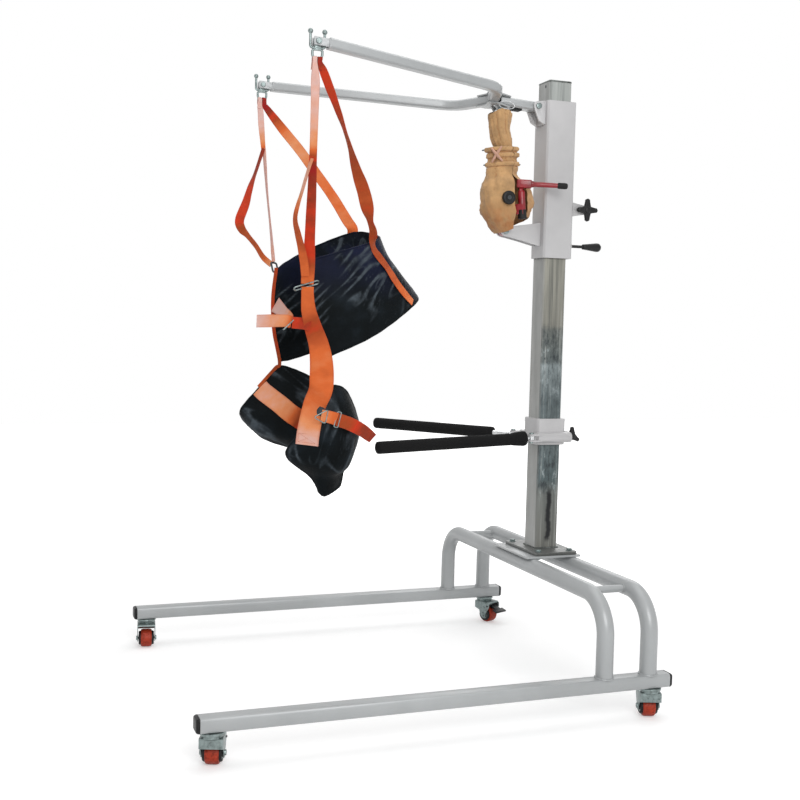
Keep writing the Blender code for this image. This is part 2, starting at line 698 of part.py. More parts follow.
def build_brackets(paint, zinc):
    """Two clevis brackets on the sleeve's front face, with their pins."""
    face = SLEEVE_FRONT - GAP

    def cheek(low_x, thickness, outline):
        return lambda bm: add_polygon(bm, [(low_x, y, z) for y, z in outline], (thickness, 0, 0))

    def back_plate(half_width, low_z, high_z):
        return lambda bm: add_box(bm, (-half_width, face - 0.005, low_z), (half_width, face, high_z))

    def pin_hole(centre):
        return lambda bm: add_cylinder(bm, centre - X_AXIS * 0.05, centre + X_AXIS * 0.05, 0.0064, 12)

    def pin(name, half, centre):
        """Headed clevis pin across a bracket."""
        matrix = Matrix.Translation(centre) @ Matrix.Rotation(math.pi / 2, 4, "Y")
        head = half + GAP
        profile = [(0.0100, -head - 0.006), (0.0110, -head - 0.005), (0.0110, -head), (0.0060, -head),
                   (0.0060, head), (0.0095, head), (0.0095, head + 0.005), (0.0050, head + 0.006)]
        part(name, lambda bm: add_turned(bm, profile, 10, matrix), zinc)

    y, z = BOOM_PIVOT.y, BOOM_PIVOT.z
    outline = [(face - 0.004, z + 0.018)] + arc((y, z), 0.016, math.pi * 0.45, math.pi * 1.15, 6)
    outline += [(y + 0.002, z - 0.046), (face - 0.004, z - 0.056)]
    clevis = union(back_plate(0.0300, z - 0.056, z + 0.018), cheek(0.0240, 0.006, outline),
                   cheek(-0.0300, 0.006, outline))
    part("boom_bracket", minus(clevis, pin_hole(BOOM_PIVOT)), paint)
    pin("boom_pivot_pin", 0.0300, BOOM_PIVOT)

    y, z = JACK_PIVOT.y, JACK_PIVOT.z
    outline = [(face - 0.004, z + 0.032), (y + 0.030, z + 0.018)]
    outline += arc((y, z), 0.016, math.pi * 0.42, math.pi * 1.42, 8)
    outline += [(y + 0.050, z - 0.026), (face - 0.004, z - 0.042)]
    clevis = union(back_plate(0.0200, z - 0.042, z + 0.032), cheek(0.0150, 0.005, outline),
                   cheek(-0.0200, 0.005, outline))
    part("jack_bracket", minus(clevis, pin_hole(JACK_PIVOT)), paint)
    pin("jack_foot_pin", 0.0200, JACK_PIVOT)


# Boom

def fillet(start, corner, end, radius, steps):
    """Plan points from start to end with an arc of the given radius at the corner."""
    start, corner, end = (Vector(p) for p in (start, corner, end))
    first = (corner - start).normalized()
    last = (end - corner).normalized()
    turn = first.angle(last)
    reach = radius * math.tan(turn / 2)
    side = 1.0 if first.x * last.y - first.y * last.x > 0 else -1.0
    centre = corner - first * reach + Vector((-first.y, first.x)) * radius * side
    begin = corner - first * reach - centre
    angle = math.atan2(begin.y, begin.x)
    bend = arc(centre, radius, angle, angle + side * turn, steps)
    return [tuple(start), *bend, tuple(end)]


def on_boom(x, y, z):
    """World place of a point given in the boom's own frame."""
    return BOOM_PIVOT + Matrix.Rotation(-BOOM_RISE, 3, "X") @ Vector((x, y, z))


def build_boom(paint, zinc):
    frame = empty("boom_frame", BOOM_PIVOT, (-BOOM_RISE, 0, 0))
    wall = 0.002
    lug_y, lug_z = JACK_LUG

    def root(bm):
        outer = profile_rectangle(ROOT_W, BOOM_H, 0.005)
        inner = profile_rectangle(ROOT_W - 2 * wall, BOOM_H - 2 * wall, 0.003)
        add_tube(bm, [Vector((0, 0.010, 0)), Vector((0, -ROOT_END, 0))], outer, inner, Z_AXIS)

    def gusset(low):
        """Plate welded to the root tube, and lapping over both arms."""
        outline = [(-0.022, -0.095), (0.022, -0.095), (0.050, -0.150), (0.046, -0.184), (0.0, -0.172),
                   (-0.046, -0.184), (-0.050, -0.150)]
        return lambda bm: add_polygon(bm, [(u, v, low) for u, v in outline], (0, 0, 0.004))

    def web(low):
        """Weld between a gusset and the root tube, which leaves the gap over the arms."""
        return lambda bm: add_box(bm, (-0.016, -0.122, low), (0.016, -0.100, low + 0.002))

    def lug(low_x):
        top = -BOOM_H / 2 - GAP - 0.002
        outline = [(lug_y - 0.022, top), (lug_y + 0.022, top)]
        outline += arc((lug_y, lug_z), 0.012, -0.2, -math.pi + 0.2, 6)
        return lambda bm: add_polygon(bm, [(low_x, y, z) for y, z in outline], (0.005, 0, 0))

    def bores(bm):
        add_cylinder(bm, (-0.04, 0, 0), (0.04, 0, 0), 0.0064, 12)
        add_cylinder(bm, (-0.04, lug_y, lug_z), (0.04, lug_y, lug_z), JACK_PIN_R + 0.0003, 12)

    def window(bm):
        """Opening in the lower gusset that the eye of the jack's ram turns in."""
        add_box(bm, (-0.0128, lug_y - 0.023, -half - 0.006), (0.0128, lug_y + 0.025, -half - 0.0001))

    half = BOOM_H / 2
    body = union(root, gusset(half + GAP), web(half - 0.001), gusset(-half - GAP - 0.004),
                 web(-half - 0.001), lug(0.0130), lug(-0.0180))
    part("boom_root", minus(body, window, bores), paint, frame)

    outer = profile_rectangle(ARM_W, BOOM_H, 0.005, 1)
    inner = profile_rectangle(ARM_W - 2 * wall, BOOM_H - 2 * wall, 0.003, 1)
    for side, sign in RIGHT_LEFT:
        plan = fillet((0.0, -0.150), ARM_CORNER, ARM_END, ARM_BEND_R, 5)
        path = [Vector((sign * u, v, 0)) for u, v in plan]

        def tube(bm, path=path, sign=sign):
            """Bent tube, cut to the middle plane at its root and square to Y at its tip."""
            outside = rings_along(path, outer, Z_AXIS)
            inside = rings_along(path, inner, Z_AXIS)
            for rings in (outside, inside):
                start, end = (path[1] - path[0]).normalized(), (path[-1] - path[-2]).normalized()
                rings[0] = [p + start * ((sign * 0.0005 - p.x) / start.x) for p in rings[0]]
                rings[-1] = [p + end * ((ARM_END[1] - p.y) / end.y) for p in rings[-1]]
            add_rings(bm, outside + inside[::-1], closed_loop=True)

        tip = Vector((sign * ARM_END[0], ARM_END[1], 0))

        def end_plate(bm, tip=tip):
            add_box(bm, tip + Vector((-0.0170, -0.0020, -0.0130)), tip + Vector((0.0170, 0.0030, 0.0130)))

        def cheek(offset, tip=tip):
            return lambda bm: add_box(bm, tip + Vector((offset - 0.0025, -0.0445, -0.0110)),
                                      tip + Vector((offset + 0.0025, 0.0, 0.0110)))

        def bolt_hole(bm, tip=tip):
            centre = tip + Vector((0, HOOK_BOLT_Y - ARM_END[1], 0))
            add_cylinder(bm, centre - X_AXIS * 0.03, centre + X_AXIS * 0.03, 0.0048, 12)

        body = union(tube, end_plate, cheek(0.0095), cheek(-0.0095))
        part("arm_" + side, minus(body, bolt_hole), paint, frame)

    def pin(bm):
        head = 0.0180 + GAP
        matrix = Matrix.Translation((0, lug_y, lug_z)) @ Matrix.Rotation(math.pi / 2, 4, "Y")
        profile = [(0.0090, -head - 0.005), (0.0090, -head), (JACK_PIN_R, -head), (JACK_PIN_R, head),
                   (0.0085, head), (0.0085, head + 0.005)]
        add_turned(bm, profile, 10, matrix)

    part("jack_top_pin", pin, zinc, frame)


# Hydraulic jack

def jack_axis():
    """World point of the upper jack pin, and the jack's length and lean."""
    lug = Matrix.Rotation(-BOOM_RISE, 3, "X") @ Vector((0, JACK_LUG[0], JACK_LUG[1]))
    reach = BOOM_PIVOT + lug - JACK_PIVOT
    return reach.length, math.atan2(-reach.y, reach.z)


def build_jack(red, chrome, black, cloth):
    length, lean = jack_axis()
    frame = empty("jack_frame", JACK_PIVOT, (lean, 0, 0))
    top = 0.245
    px, py = PUMP_XY

    def cylinder(bm):
        """Barrel with a deep bore for the ram, closed at the foot."""
        profile = [(0.0020, 0.018), (CYLINDER_R + 0.004, 0.018), (CYLINDER_R + 0.004, 0.040),
                   (CYLINDER_R, 0.044),
                   (CYLINDER_R, top - 0.010), (CYLINDER_R - 0.004, top), (RAM_R + 0.0010, top),
                   (RAM_R + 0.0010, 0.060), (0.0020, 0.060)]
        add_turned(bm, profile, 12)

    def foot_eye(bm):
        add_cylinder(bm, (-0.0140, 0, 0), (0.0140, 0, 0), 0.0140, 12)

    def neck(bm):
        add_box(bm, (-0.0140, -0.0120, 0.0020), (0.0140, 0.0120, 0.0250))

    def valve_block(bm):
        """Block that carries the oil between the barrel and the pump, set square to the pump."""
        along = Vector((px, py, 0)).normalized()
        across = Vector((-along.y, along.x, 0)) * 0.012
        start, end = along * 0.018, along * 0.076
        outline = [start - across, end - across, end + across, start + across]
        add_polygon(bm, [(p.x, p.y, 0.050) for p in outline], (0, 0, 0.032))

    def pump_barrel(bm):
        add_turned(bm, [(0.0085, 0.040), (0.0115, 0.042), (0.0115, 0.118), (0.0095, 0.124)], 12,
                   Matrix.Translation((px, py, 0)))

    def tongue(bm):
        """Flat tongue on the pump that the lever head rocks on."""
        along = Vector((LEVER_DIRECTION.x, LEVER_DIRECTION.y, 0)).normalized()
        across = Vector((-along.y, along.x, 0))
        corners = [along * 0.006 * a + across * 0.0042 * b for a, b in ((1, -1), (1, 1), (-1, 1), (-1, -1))]
        add_polygon(bm, [(px + p.x, py + p.y, 0.120) for p in corners], (0, 0, 0.030))

    head_z = 0.150
    sideways = Vector((-LEVER_DIRECTION.y, LEVER_DIRECTION.x, 0)).normalized()

    def lever_pin(bm):
        middle = Vector((px, py, head_z - 0.004))
        add_cylinder(bm, middle - sideways * 0.0150, middle + sideways * 0.0150, LEVER_PIN_R, 10)

    body = union(cylinder, foot_eye, neck, valve_block, pump_barrel, tongue, lever_pin)
    body = minus(body, lambda bm: add_cylinder(bm, (-0.03, 0, 0), (0.03, 0, 0), 0.0063, 14))
    part("jack_body", body, red, frame)

    hinge = empty("pump_lever_hinge", (px, py, head_z - 0.004), parent=frame)
    along, across = LEVER_DIRECTION, sideways

    def lever_head(bm):
        add_cylinder(bm, -across * 0.0140, across * 0.0140, 0.0130, 12)

    def lever_tube(bm):
        add_cylinder(bm, along * 0.0050, along * LEVER_LENGTH, 0.0082, 12, 0.0068)

    def slot(bm):
        flat = Vector((along.x, along.y, 0)).normalized()
        corners = [flat * 0.015 * a + across * 0.0052 * b for a, b in ((1, -1), (1, 1), (-1, 1), (-1, -1))]
        add_polygon(bm, [(p.x, p.y, -0.030) for p in corners], (0, 0, 0.0375))

    def pin_bore(bm):
        add_cylinder(bm, -across * 0.02, across * 0.02, LEVER_PIN_R + 0.0004, 10)

    def lever_tip(bm):
        stations = ((LEVER_LENGTH - 0.002, 0.8), (LEVER_LENGTH + 0.002, 1.0), (LEVER_LENGTH + 0.014, 1.0),
                    (LEVER_LENGTH + 0.018, 0.6))
        path = [along * reach for reach, _ in stations]
        add_rings(bm, rings_along(path, profile_circle(0.0100, 12), Z_AXIS, [scale for _, scale in stations]))

    part("pump_lever", minus(union(lever_head, lever_tube, lever_tip), slot, pin_bore), red, hinge)

    valve_z = 0.102
    valve = empty("release_valve_axis", (0, -0.006, valve_z), parent=frame)

    def release_knob(bm):
        """Round release knob on a stem that leaves the barrel towards +X."""
        profile = [(0.0050, CYLINDER_R + GAP), (0.0050, 0.0560), (0.0180, 0.0560), (0.0215, 0.0585),
                   (0.0215, 0.0670), (0.0190, 0.0700), (0.0080, 0.0710)]
        add_turned(bm, profile, 14, Matrix.Rotation(math.pi / 2, 4, "Y"))

    part("release_knob", release_knob, black, valve)

    slide = empty("ram_slide_axis", (0, 0, 0), parent=frame)

    def ram_rod(bm):
        add_cylinder(bm, (0, 0, 0.118), (0, 0, length - EYE_SLOT_R - 0.0018), RAM_R, 12)

    def eye(radius, half_width):
        """Round-ended block along the slot that the upper pin travels in."""
        start, end = EYE_SLOT
        outline = (arc((end, 0), radius, -math.pi / 2, math.pi / 2, 6)
                   + arc((start, 0), radius, math.pi / 2, math.pi * 1.5, 6))
        return lambda bm: add_polygon(bm, [(-half_width, v, length + w) for v, w in outline],
                                      (2 * half_width, 0, 0))

    rod = minus(union(ram_rod, eye(EYE_SLOT_R + 0.0045, 0.0120)), eye(EYE_SLOT_R, 0.03))
    part("jack_ram", rod, chrome, slide)

    build_cover(cloth, frame, slide, valve_z)


def build_cover(cloth, frame, slide, valve_z):
    """Gathered cloth cover: a slack bag open towards the pump, and its tied neck above."""
    def shell(stations, folds, depth, end, steps):
        """Rows round the jack; a station is height, X radius, Y radius, Y shift and starting angle."""
        grid = []
        for height, rx, ry, shift, start in stations:
            row = []
            for i in range(steps + 1):
                angle = start + (end - start) * i / steps
                ripple = 1.0 + depth * math.sin(folds * angle + height * 20.0)
                x, y = rx * ripple * math.cos(angle), shift + ry * ripple * math.sin(angle)
                row.append(Vector((x, y, height)))
            grid.append(row)
        return grid

    pump_angle = math.atan2(PUMP_XY[1], PUMP_XY[0])
    end = pump_angle - math.radians(16.0) + 2 * math.pi
    open_side = pump_angle + math.radians(36.0)
    clear_of_bracket = math.radians(140.0)
    half_open = math.radians(118.0)
    bag_stations = [(-0.005, 0.036, 0.036, -0.004, clear_of_bracket),
                    (0.004, 0.041, 0.044, -0.008, clear_of_bracket),
                    (0.030, 0.045, 0.052, -0.014, half_open), (0.075, 0.047, 0.056, -0.018, open_side),
                    (0.120, 0.045, 0.054, -0.018, open_side), (0.165, 0.041, 0.050, -0.014, open_side),
                    (0.200, 0.040, 0.047, -0.008, open_side), (0.212, 0.047, 0.055, -0.006, open_side),
                    (0.222, 0.036, 0.042, -0.004, open_side), (0.232, 0.046, 0.053, -0.004, open_side),
                    (0.243, 0.034, 0.037, -0.002, open_side)]
    bag = shell(bag_stations, 6, 0.045, end, 21)
    bag_mesh = make_mesh("bag", lambda bm: add_sheet(bm, bag, COVER_T, COVER_T * 0.8))

    def stem_hole(bm):
        add_cylinder(bm, (0.030, -0.006, valve_z), (0.080, -0.006, valve_z), 0.0080, 12)

    part("jack_cover", minus(bag_mesh, stem_hole), cloth, frame)

    neck_stations = [(0.2475, 0.030, 0.034, -0.002, 0.0), (0.262, 0.028, 0.033, -0.004, 0.0),
                     (0.290, 0.027, 0.034, -0.006, 0.0), (0.320, 0.026, 0.033, -0.004, 0.0),
                     (0.345, 0.025, 0.030, -0.001, 0.0), (0.360, 0.027, 0.034, 0.0, 0.0)]
    neck = shell(neck_stations, 5, 0.06, 2 * math.pi, 18)

    def neck_mesh(bm):
        outside = [row[:-1] for row in neck]
        inside = [[Vector((p.x * 0.90, p.y * 0.90, p.z)) for p in row] for row in outside]
        add_rings(bm, outside + inside[::-1], closed_loop=True)

    part("jack_cover_neck", neck_mesh, cloth, slide)


# Handrails

def build_collar(paint, black, foam, chrome, zinc):
    mid_y = (COLLAR_FRONT + COLLAR_REAR) / 2
    low, high = COLLAR_Z

    def block(bm):
        outer = profile_rectangle(2 * COLLAR_X, COLLAR_REAR - COLLAR_FRONT, 0.008, 1)
        bore = profile_rectangle(2 * COLLAR_BORE, 2 * COLLAR_BORE, 0.004, 1)
        outside = [[Vector((u * s, mid_y + v * s, z)) for u, v in outer]
                   for z, s in ((low, 0.97), (low + 0.003, 1.0), (high - 0.003, 1.0), (high, 0.97))]
        inside = [[Vector((u, MAST_Y + v, z)) for u, v in bore] for z in (high, low)]
        add_rings(bm, outside + inside, closed_loop=True)

    def boss(sign):
        """Round boss along the side of the collar."""
        return lambda bm: add_cylinder(bm, (sign * BOSS_X, COLLAR_FRONT - 0.006, RAIL_Z),
                                       (sign * BOSS_X, COLLAR_REAR + 0.012, RAIL_Z), 0.0165, 12)

    def hinge_plates(sign, z_low):
        """Flat ear that reaches forward to the handrail's hinge pin."""
        x, y = sign * RAIL_PIVOT[0], RAIL_PIVOT[1]

        def build(bm):
            outline = [(x + 0.011, COLLAR_FRONT + 0.004), (x - 0.011, COLLAR_FRONT + 0.004)]
            outline += arc((x, y), 0.011, math.pi, 2 * math.pi, 6)
            add_polygon(bm, [(u, v, z_low) for u, v in outline], (0, 0, 0.0045))
        return build

    def clamp_lug(x_low):
        def build(bm):
            outline = [(COLLAR_REAR - 0.004, RAIL_Z - 0.018)]
            outline += arc((COLLAR_KNOB_Y, RAIL_Z), 0.012, -math.pi / 2 + 0.1, math.pi / 2 - 0.1, 5)
            outline.append((COLLAR_REAR - 0.004, RAIL_Z + 0.018))
            add_polygon(bm, [(x_low, y, z) for y, z in outline], (0.006, 0, 0))
        return build

    below, above = RAIL_Z - 0.0120, RAIL_Z + 0.0075
    mesh = union(block, boss(1), boss(-1), hinge_plates(1, below), hinge_plates(1, above),
                 hinge_plates(-1, below), hinge_plates(-1, above), clamp_lug(0.0030), clamp_lug(-0.0090))

    def cuts(bm):
        add_box(bm, (-0.0020, MAST_Y + 0.030, low - 0.01), (0.0020, COLLAR_REAR + 0.002, high + 0.01))

    def bores(bm):
        add_cylinder(bm, (-0.03, COLLAR_KNOB_Y, RAIL_Z), (0.03, COLLAR_KNOB_Y, RAIL_Z), 0.0045, 10)
        for sign in (1, -1):
            x, y = sign * RAIL_PIVOT[0], RAIL_PIVOT[1]
            add_cylinder(bm, (x, y, RAIL_Z - 0.03), (x, y, RAIL_Z + 0.03), 0.0043, 10)

    part("rail_collar", minus(mesh, cuts, bores), paint)

    profile = [(0.0075, -0.0168), (0.0075, -0.0123), (0.0040, -0.0123), (0.0040, 0.0123),
               (0.0075, 0.0123), (0.0075, 0.0168)]
    for side, sign in RIGHT_LEFT:
        place = Matrix.Translation((sign * RAIL_PIVOT[0], RAIL_PIVOT[1], RAIL_Z))
        part("rail_hinge_pin_" + side, lambda bm, place=place: add_turned(bm, profile, 10, place), zinc)
    knob_axis = empty("collar_knob_axis", (0, COLLAR_KNOB_Y, RAIL_Z))
    knob = lobed_knob(3, COLLAR_KNOB_REACH, 0.0070, 0.0095, 0.0220, 0.0040, -0.016)
    part("collar_clamp_knob", knob, black, knob_axis)

    for (side, sign), angle, bare in zip(RIGHT_LEFT, (RAIL_ANGLE_RIGHT, RAIL_ANGLE_LEFT), (0.026, 0.075)):
        place = (sign * RAIL_PIVOT[0], RAIL_PIVOT[1], RAIL_Z)
        hinge = empty("rail_" + side + "_hinge", place, (0, 0, sign * angle))

        def eye(bm):
            add_cylinder(bm, (0, 0, -0.0070), (0, 0, 0.0070), 0.0110, 12)

        def tongue(bm):
            add_box(bm, (-0.0078, -0.0160, -0.0069), (0.0078, -0.0020, 0.0069))

        def rod(bm):
            add_cylinder(bm, (0, -0.0125, 0), (0, -RAIL_LENGTH + 0.012, 0), RAIL_ROD_R, 12)

        def pin_bore(bm):
            add_cylinder(bm, (0, 0, -0.02), (0, 0, 0.02), 0.0043, 12)

        part("rail_rod_" + side, minus(union(eye, tongue, rod), pin_bore), chrome, hinge)

        def grip(bm, bare=bare):
            """Foam grip with a bore for the rod and a closed front end."""
            bore = RAIL_ROD_R + GAP
            swell = 1.32 if bare < 0.05 else 1.0
            stations = [(bare, GRIP_R * swell * 0.80), (bare + 0.006, GRIP_R * swell),
                        (bare + 0.030, GRIP_R * swell), (bare + 0.050, GRIP_R),
                        (RAIL_LENGTH - 0.006, GRIP_R), (RAIL_LENGTH, GRIP_R * 0.70)]
            inside = [(RAIL_LENGTH - 0.010, bore), (bare, bore)]
            matrix = Matrix.Rotation(math.pi / 2, 4, "X")
            profile = [(r, s) for s, r in stations] + [(0.0015, RAIL_LENGTH), (0.0015, RAIL_LENGTH - 0.010)]
            profile += [(r, s) for s, r in inside]
            add_turned(bm, profile, 14, matrix, closed_loop=True)

        part("rail_grip_" + side, grip, foam, hinge)


# Sling

VEST_TOP = [(-0.155, -0.341, 1.287), (-0.172, -0.230, 1.352), (-0.120, -0.110, 1.404),
            (0.0, -0.078, 1.392), (0.120, -0.106, 1.368), (0.170, -0.215, 1.332), (0.160, -0.323, 1.298)]
VEST_MIDDLE = [(-0.160, -0.350, 1.140), (-0.180, -0.215, 1.185), (-0.130, -0.050, 1.262), (0.0, 0.005, 1.292),
               (0.125, -0.040, 1.268), (0.175, -0.175, 1.200), (0.165, -0.325, 1.150)]
VEST_BOTTOM = [(-0.140, -0.329, 0.993), (-0.165, -0.200, 1.034), (-0.115, -0.005, 1.134),
               (0.0, 0.066, 1.190), (0.105, 0.020, 1.165), (0.160, -0.130, 1.083), (0.150, -0.293, 1.008)]
THIGH_RIGHT = [
    [(0.128, -0.318, 0.872), (0.140, -0.262, 0.930), (0.105, -0.198, 0.925), (0.060, -0.150, 0.868)],
    [(0.130, -0.345, 0.790), (0.165, -0.262, 0.812), (0.135, -0.176, 0.810), (0.060, -0.132, 0.790)],
    [(0.100, -0.368, 0.722), (0.140, -0.275, 0.715), (0.120, -0.195, 0.700), (0.050, -0.158, 0.700)],
    [(0.060, -0.300, 0.672), (0.085, -0.262, 0.640), (0.070, -0.215, 0.612), (0.030, -0.190, 0.640)]]
THIGH_LEFT = [
    [(-0.143, -0.332, 0.984), (-0.105, -0.277, 0.964), (-0.055, -0.220, 0.930), (-0.030, -0.190, 0.890)],
    [(-0.150, -0.400, 0.905), (-0.080, -0.345, 0.880), (-0.020, -0.280, 0.850), (-0.010, -0.220, 0.820)],
    [(-0.160, -0.452, 0.838), (-0.095, -0.405, 0.795), (-0.030, -0.320, 0.768), (-0.015, -0.250, 0.750)],
    [(-0.185, -0.425, 0.800), (-0.130, -0.385, 0.755), (-0.070, -0.300, 0.728), (-0.050, -0.240, 0.720)]]
PAD_T = 0.012
PAD_RIM_T = 0.006
STRAP_T = 0.003


def laid(grid, places, look, lift):
    """Points at a height above a pad, on the side that looks along a direction, and the way each faces."""
    points, facings = [], []
    for i, j in places:
        normal = grid_normal(grid, i, j)
        if normal.dot(Vector(look)) < 0:
            normal = -normal
        half = (PAD_RIM_T + (PAD_T - PAD_RIM_T) * bulge(grid, i, j)) / 2
        points.append(grid[i][j] + normal * (half + STRAP_T / 2 + lift))
        facings.append(normal)
    return points, facings


def build_sling(cloth, webbing, zinc):
    tip = on_boom(ARM_END[0], HOOK_BOLT_Y, 0)
    for side, sign in RIGHT_LEFT:
        hang = empty("hook_" + side + "_axis", (sign * tip.x, tip.y, tip.z))
        part("sling_hook_" + side, hook_mesh(), zinc, hang)

    origin = (0, tip.y, tip.z - BAIL_CENTRE)
    swing = empty("sling_swing_axis", origin)
    vest = folded(sheet_grid([VEST_TOP, VEST_MIDDLE, VEST_BOTTOM], 4, 4), 0.0045, 1.0, 3.5)
    pads = {"back_pad": vest}
    for side, rows, slant in (("right", THIGH_RIGHT, 1.0), ("left", THIGH_LEFT, 1.5)):
        pads["thigh_pad_" + side] = folded(sheet_grid(rows, 3, 4), 0.0030, slant, 1.0)
    for name, pad in pads.items():
        part(name, lambda bm, pad=pad: add_sheet(bm, pad, PAD_T, PAD_RIM_T), cloth, swing, origin)
    build_straps(webbing, swing, origin, pads)


def hook_mesh():
    """Hook that hangs on its bolt: two upturned prongs, and a round bail below for the straps."""
    rod = 0.0036

    def bent(points):
        return lambda bm: add_rings(bm, rings_along([Vector((0, y, z)) for y, z in points],
                                                    profile_circle(rod, 6), X_AXIS))

    def shank(bm):
        outline = [(-0.0080, -0.0240), (0.0080, -0.0240)] + arc((0, 0), 0.0090, 0.0, math.pi, 6)
        add_polygon(bm, [(-0.0034, y, z) for y, z in outline], (0.0068, 0, 0))

    def bolt(bm):
        """Bolt through the clevis at the arm's end, with its head outside and its nut inside."""
        face = CLEVIS_FACE + GAP
        profile = [(0.0090, -face - 0.0055), (0.0090, -face), (0.0045, -face), (0.0045, face),
                   (0.0080, face), (0.0080, face + 0.0050)]
        add_turned(bm, profile, 8, Matrix.Rotation(math.pi / 2, 4, "Y"))

    def ball(y):
        def build(bm):
            add_turned(bm, [(0.0040, -0.0062), (0.0072, -0.0015), (0.0066, 0.0038), (0.0026, 0.0072)], 6,
                       Matrix.Translation((0, y, HOOK_BALL_Z)))
        return build

    prongs = [(-HOOK_REACH, HOOK_BALL_Z)]
    prongs += arc((-HOOK_REACH + 0.006, -0.0105), 0.006, math.pi, math.pi * 1.5, 2)
    prongs += [(-y, z) for y, z in reversed(prongs)]
    bail = [(-BAIL_R * 0.25, -0.0195), (-BAIL_R, -0.0240)]
    bail += arc((0, -BAIL_CENTRE), BAIL_R, math.pi, 2 * math.pi, 6)
    bail += [(BAIL_R, -0.0240), (BAIL_R * 0.25, -0.0195)]
    return union(shank, bent(prongs), bent(bail), bolt, ball(HOOK_REACH), ball(-HOOK_REACH))


def strap(free, facing, width, rest=((), ()), steps=2):
    """Flat webbing through free points that face one way, and then through the points of a laid stretch."""
    points = list(free) + list(rest[0])
    facings = [Vector(facing)] * len(free) + list(rest[1])

    def build(bm):
        path = smooth_path(points, steps)
        add_rings(bm, rings_along(path, profile_rectangle(width, STRAP_T), smooth_path(facings, steps)))
    return build


def build_straps(webbing, swing, origin, pads):
    outward = (0.94, -0.34, 0.0)
    vest, thigh_right, thigh_left = pads["back_pad"], pads["thigh_pad_right"], pads["thigh_pad_left"]
    top_y, top_z = origin[1], origin[2]
    saddle_r = BAIL_R + 0.0036 + 0.0007

    def saddle(x):
        """Top of the two straps, curved round the hook's bail so that the sling can rock on it."""
        outline = arc((top_y, top_z), saddle_r + 0.008, math.radians(-145), math.radians(-35), 5)
        outline += arc((top_y, top_z), saddle_r, math.radians(-35), math.radians(-145), 6)
        return lambda bm: add_polygon(bm, [(x - 0.0050, y, z) for y, z in outline], (0.0100, 0, 0))

    start = top_z - saddle_r - 0.003
    front, rear = top_y - 0.004, top_y + 0.008
    ring_centre = Vector((0.191, -0.347, 1.222))

    def ring_block(bm):
        """Metal ring between the upper and the lower front strap."""
        along, across = Vector((-0.34, -0.94, 0.0)).normalized(), Vector(outward).normalized()
        outline = profile_rectangle(0.060, 0.0085, 0.002, 1)
        corners = [ring_centre + along * u + across * v for u, v in outline]
        add_polygon(bm, [(p.x, p.y, ring_centre.z - 0.0125) for p in corners], (0, 0, 0.025))

    down_right = laid(vest, [(i, 17) for i in range(0, 9, 2)], (0.75, 0.60, 0.20), 0.0055)
    right = union(
        saddle(ARM_END[0]),
        strap([(0.317, front, start), (0.310, -0.3640, 1.780), (0.296, -0.362, 1.700),
               (0.268, -0.358, 1.545), (0.235, -0.354, 1.420), (0.206, -0.350, 1.310),
               (0.192, -0.348, 1.228)], outward, 0.030),
        strap([(0.276, -0.364, 1.590), (0.262, -0.395, 1.520), (0.246, -0.416, 1.430),
               (0.222, -0.392, 1.350), (0.200, -0.356, 1.280)], outward, 0.014),
        ring_block,
        strap([(0.1905, -0.346, 1.216), (0.184, -0.338, 1.126), (0.178, -0.306, 1.020),
               (0.170, -0.290, 0.940), (0.166, -0.300, 0.880)], outward, 0.046,
              laid(thigh_right, [(4, 2), (6, 1)], outward, 0.0030)),
        strap([(0.185, -0.338, 1.130), (0.170, -0.358, 1.124), (0.158, -0.374, 1.119)], outward, 0.030),
        strap([(0.317, rear, start), (0.290, -0.322, 1.752), (0.255, -0.270, 1.650),
               (0.205, -0.197, 1.502), (0.176, -0.140, 1.418)], (0.80, 0.30, 0.50), 0.030, down_right))
    part("straps_right", right, webbing, swing, origin)

    front_look = (0.65, -0.66, 0.36)
    far_look = Vector((-0.94, -0.34, 0.0))
    far_edge = laid(vest, [(0, 1), (3, 1), (6, 1)], far_look, 0.0070)
    band = laid(thigh_left, [(3, column) for column in (0, 2, 4, 6, 8)], front_look, 0.0040)
    wrap = band[0][0] + (band[0][0] - band[0][1]).normalized() * 0.012
    down_left = laid(vest, [(0, 7), (2, 7), (4, 7)], (-0.75, 0.60, 0.20), 0.0055)
    left = union(
        saddle(-ARM_END[0]),
        strap([(-0.317, front, start), (-0.305, -0.3640, 1.770), (-0.288, -0.364, 1.700),
               (-0.262, -0.362, 1.590), (-0.224, -0.356, 1.430), (-0.194, -0.360, 1.340)],
              far_look, 0.024, far_edge),
        strap([(-0.266, -0.362, 1.615), (-0.252, -0.392, 1.570), (-0.234, -0.440, 1.455),
               (-0.214, -0.412, 1.370), (-0.190, -0.362, 1.310)], far_look, 0.012),
        strap([far_edge[0][2] + Z_AXIS * 0.012, (-0.164, -0.352, 0.990), (-0.166, -0.378, 0.948), wrap],
              far_look, 0.020),
        strap([wrap], band[1][0], 0.034, band),
        strap([(-0.317, rear, start), (-0.292, -0.322, 1.765), (-0.250, -0.250, 1.671),
               (-0.200, -0.172, 1.540), (-0.176, -0.132, 1.462)], (-0.60, -0.40, 0.60), 0.032, down_left))
    part("straps_left", left, webbing, swing, origin)

    waist = [(-0.150, -0.380, 1.176), (-0.060, -0.398, 1.160), (0.050, -0.402, 1.130),
             (0.118, -0.392, 1.116), (0.148, -0.384, 1.114), (0.130, -0.405, 1.120),
             (0.086, -0.466, 1.119)]
    part("waist_strap", strap(waist, (0.2, -0.9, 0.1), 0.030), webbing, swing, origin)
    thigh = [(0.172, -0.312, 0.858), (0.184, -0.268, 0.847), (0.176, -0.190, 0.818), (0.162, -0.118, 0.780)]
    part("thigh_strap", strap(thigh, outward, 0.030), webbing, swing, origin)


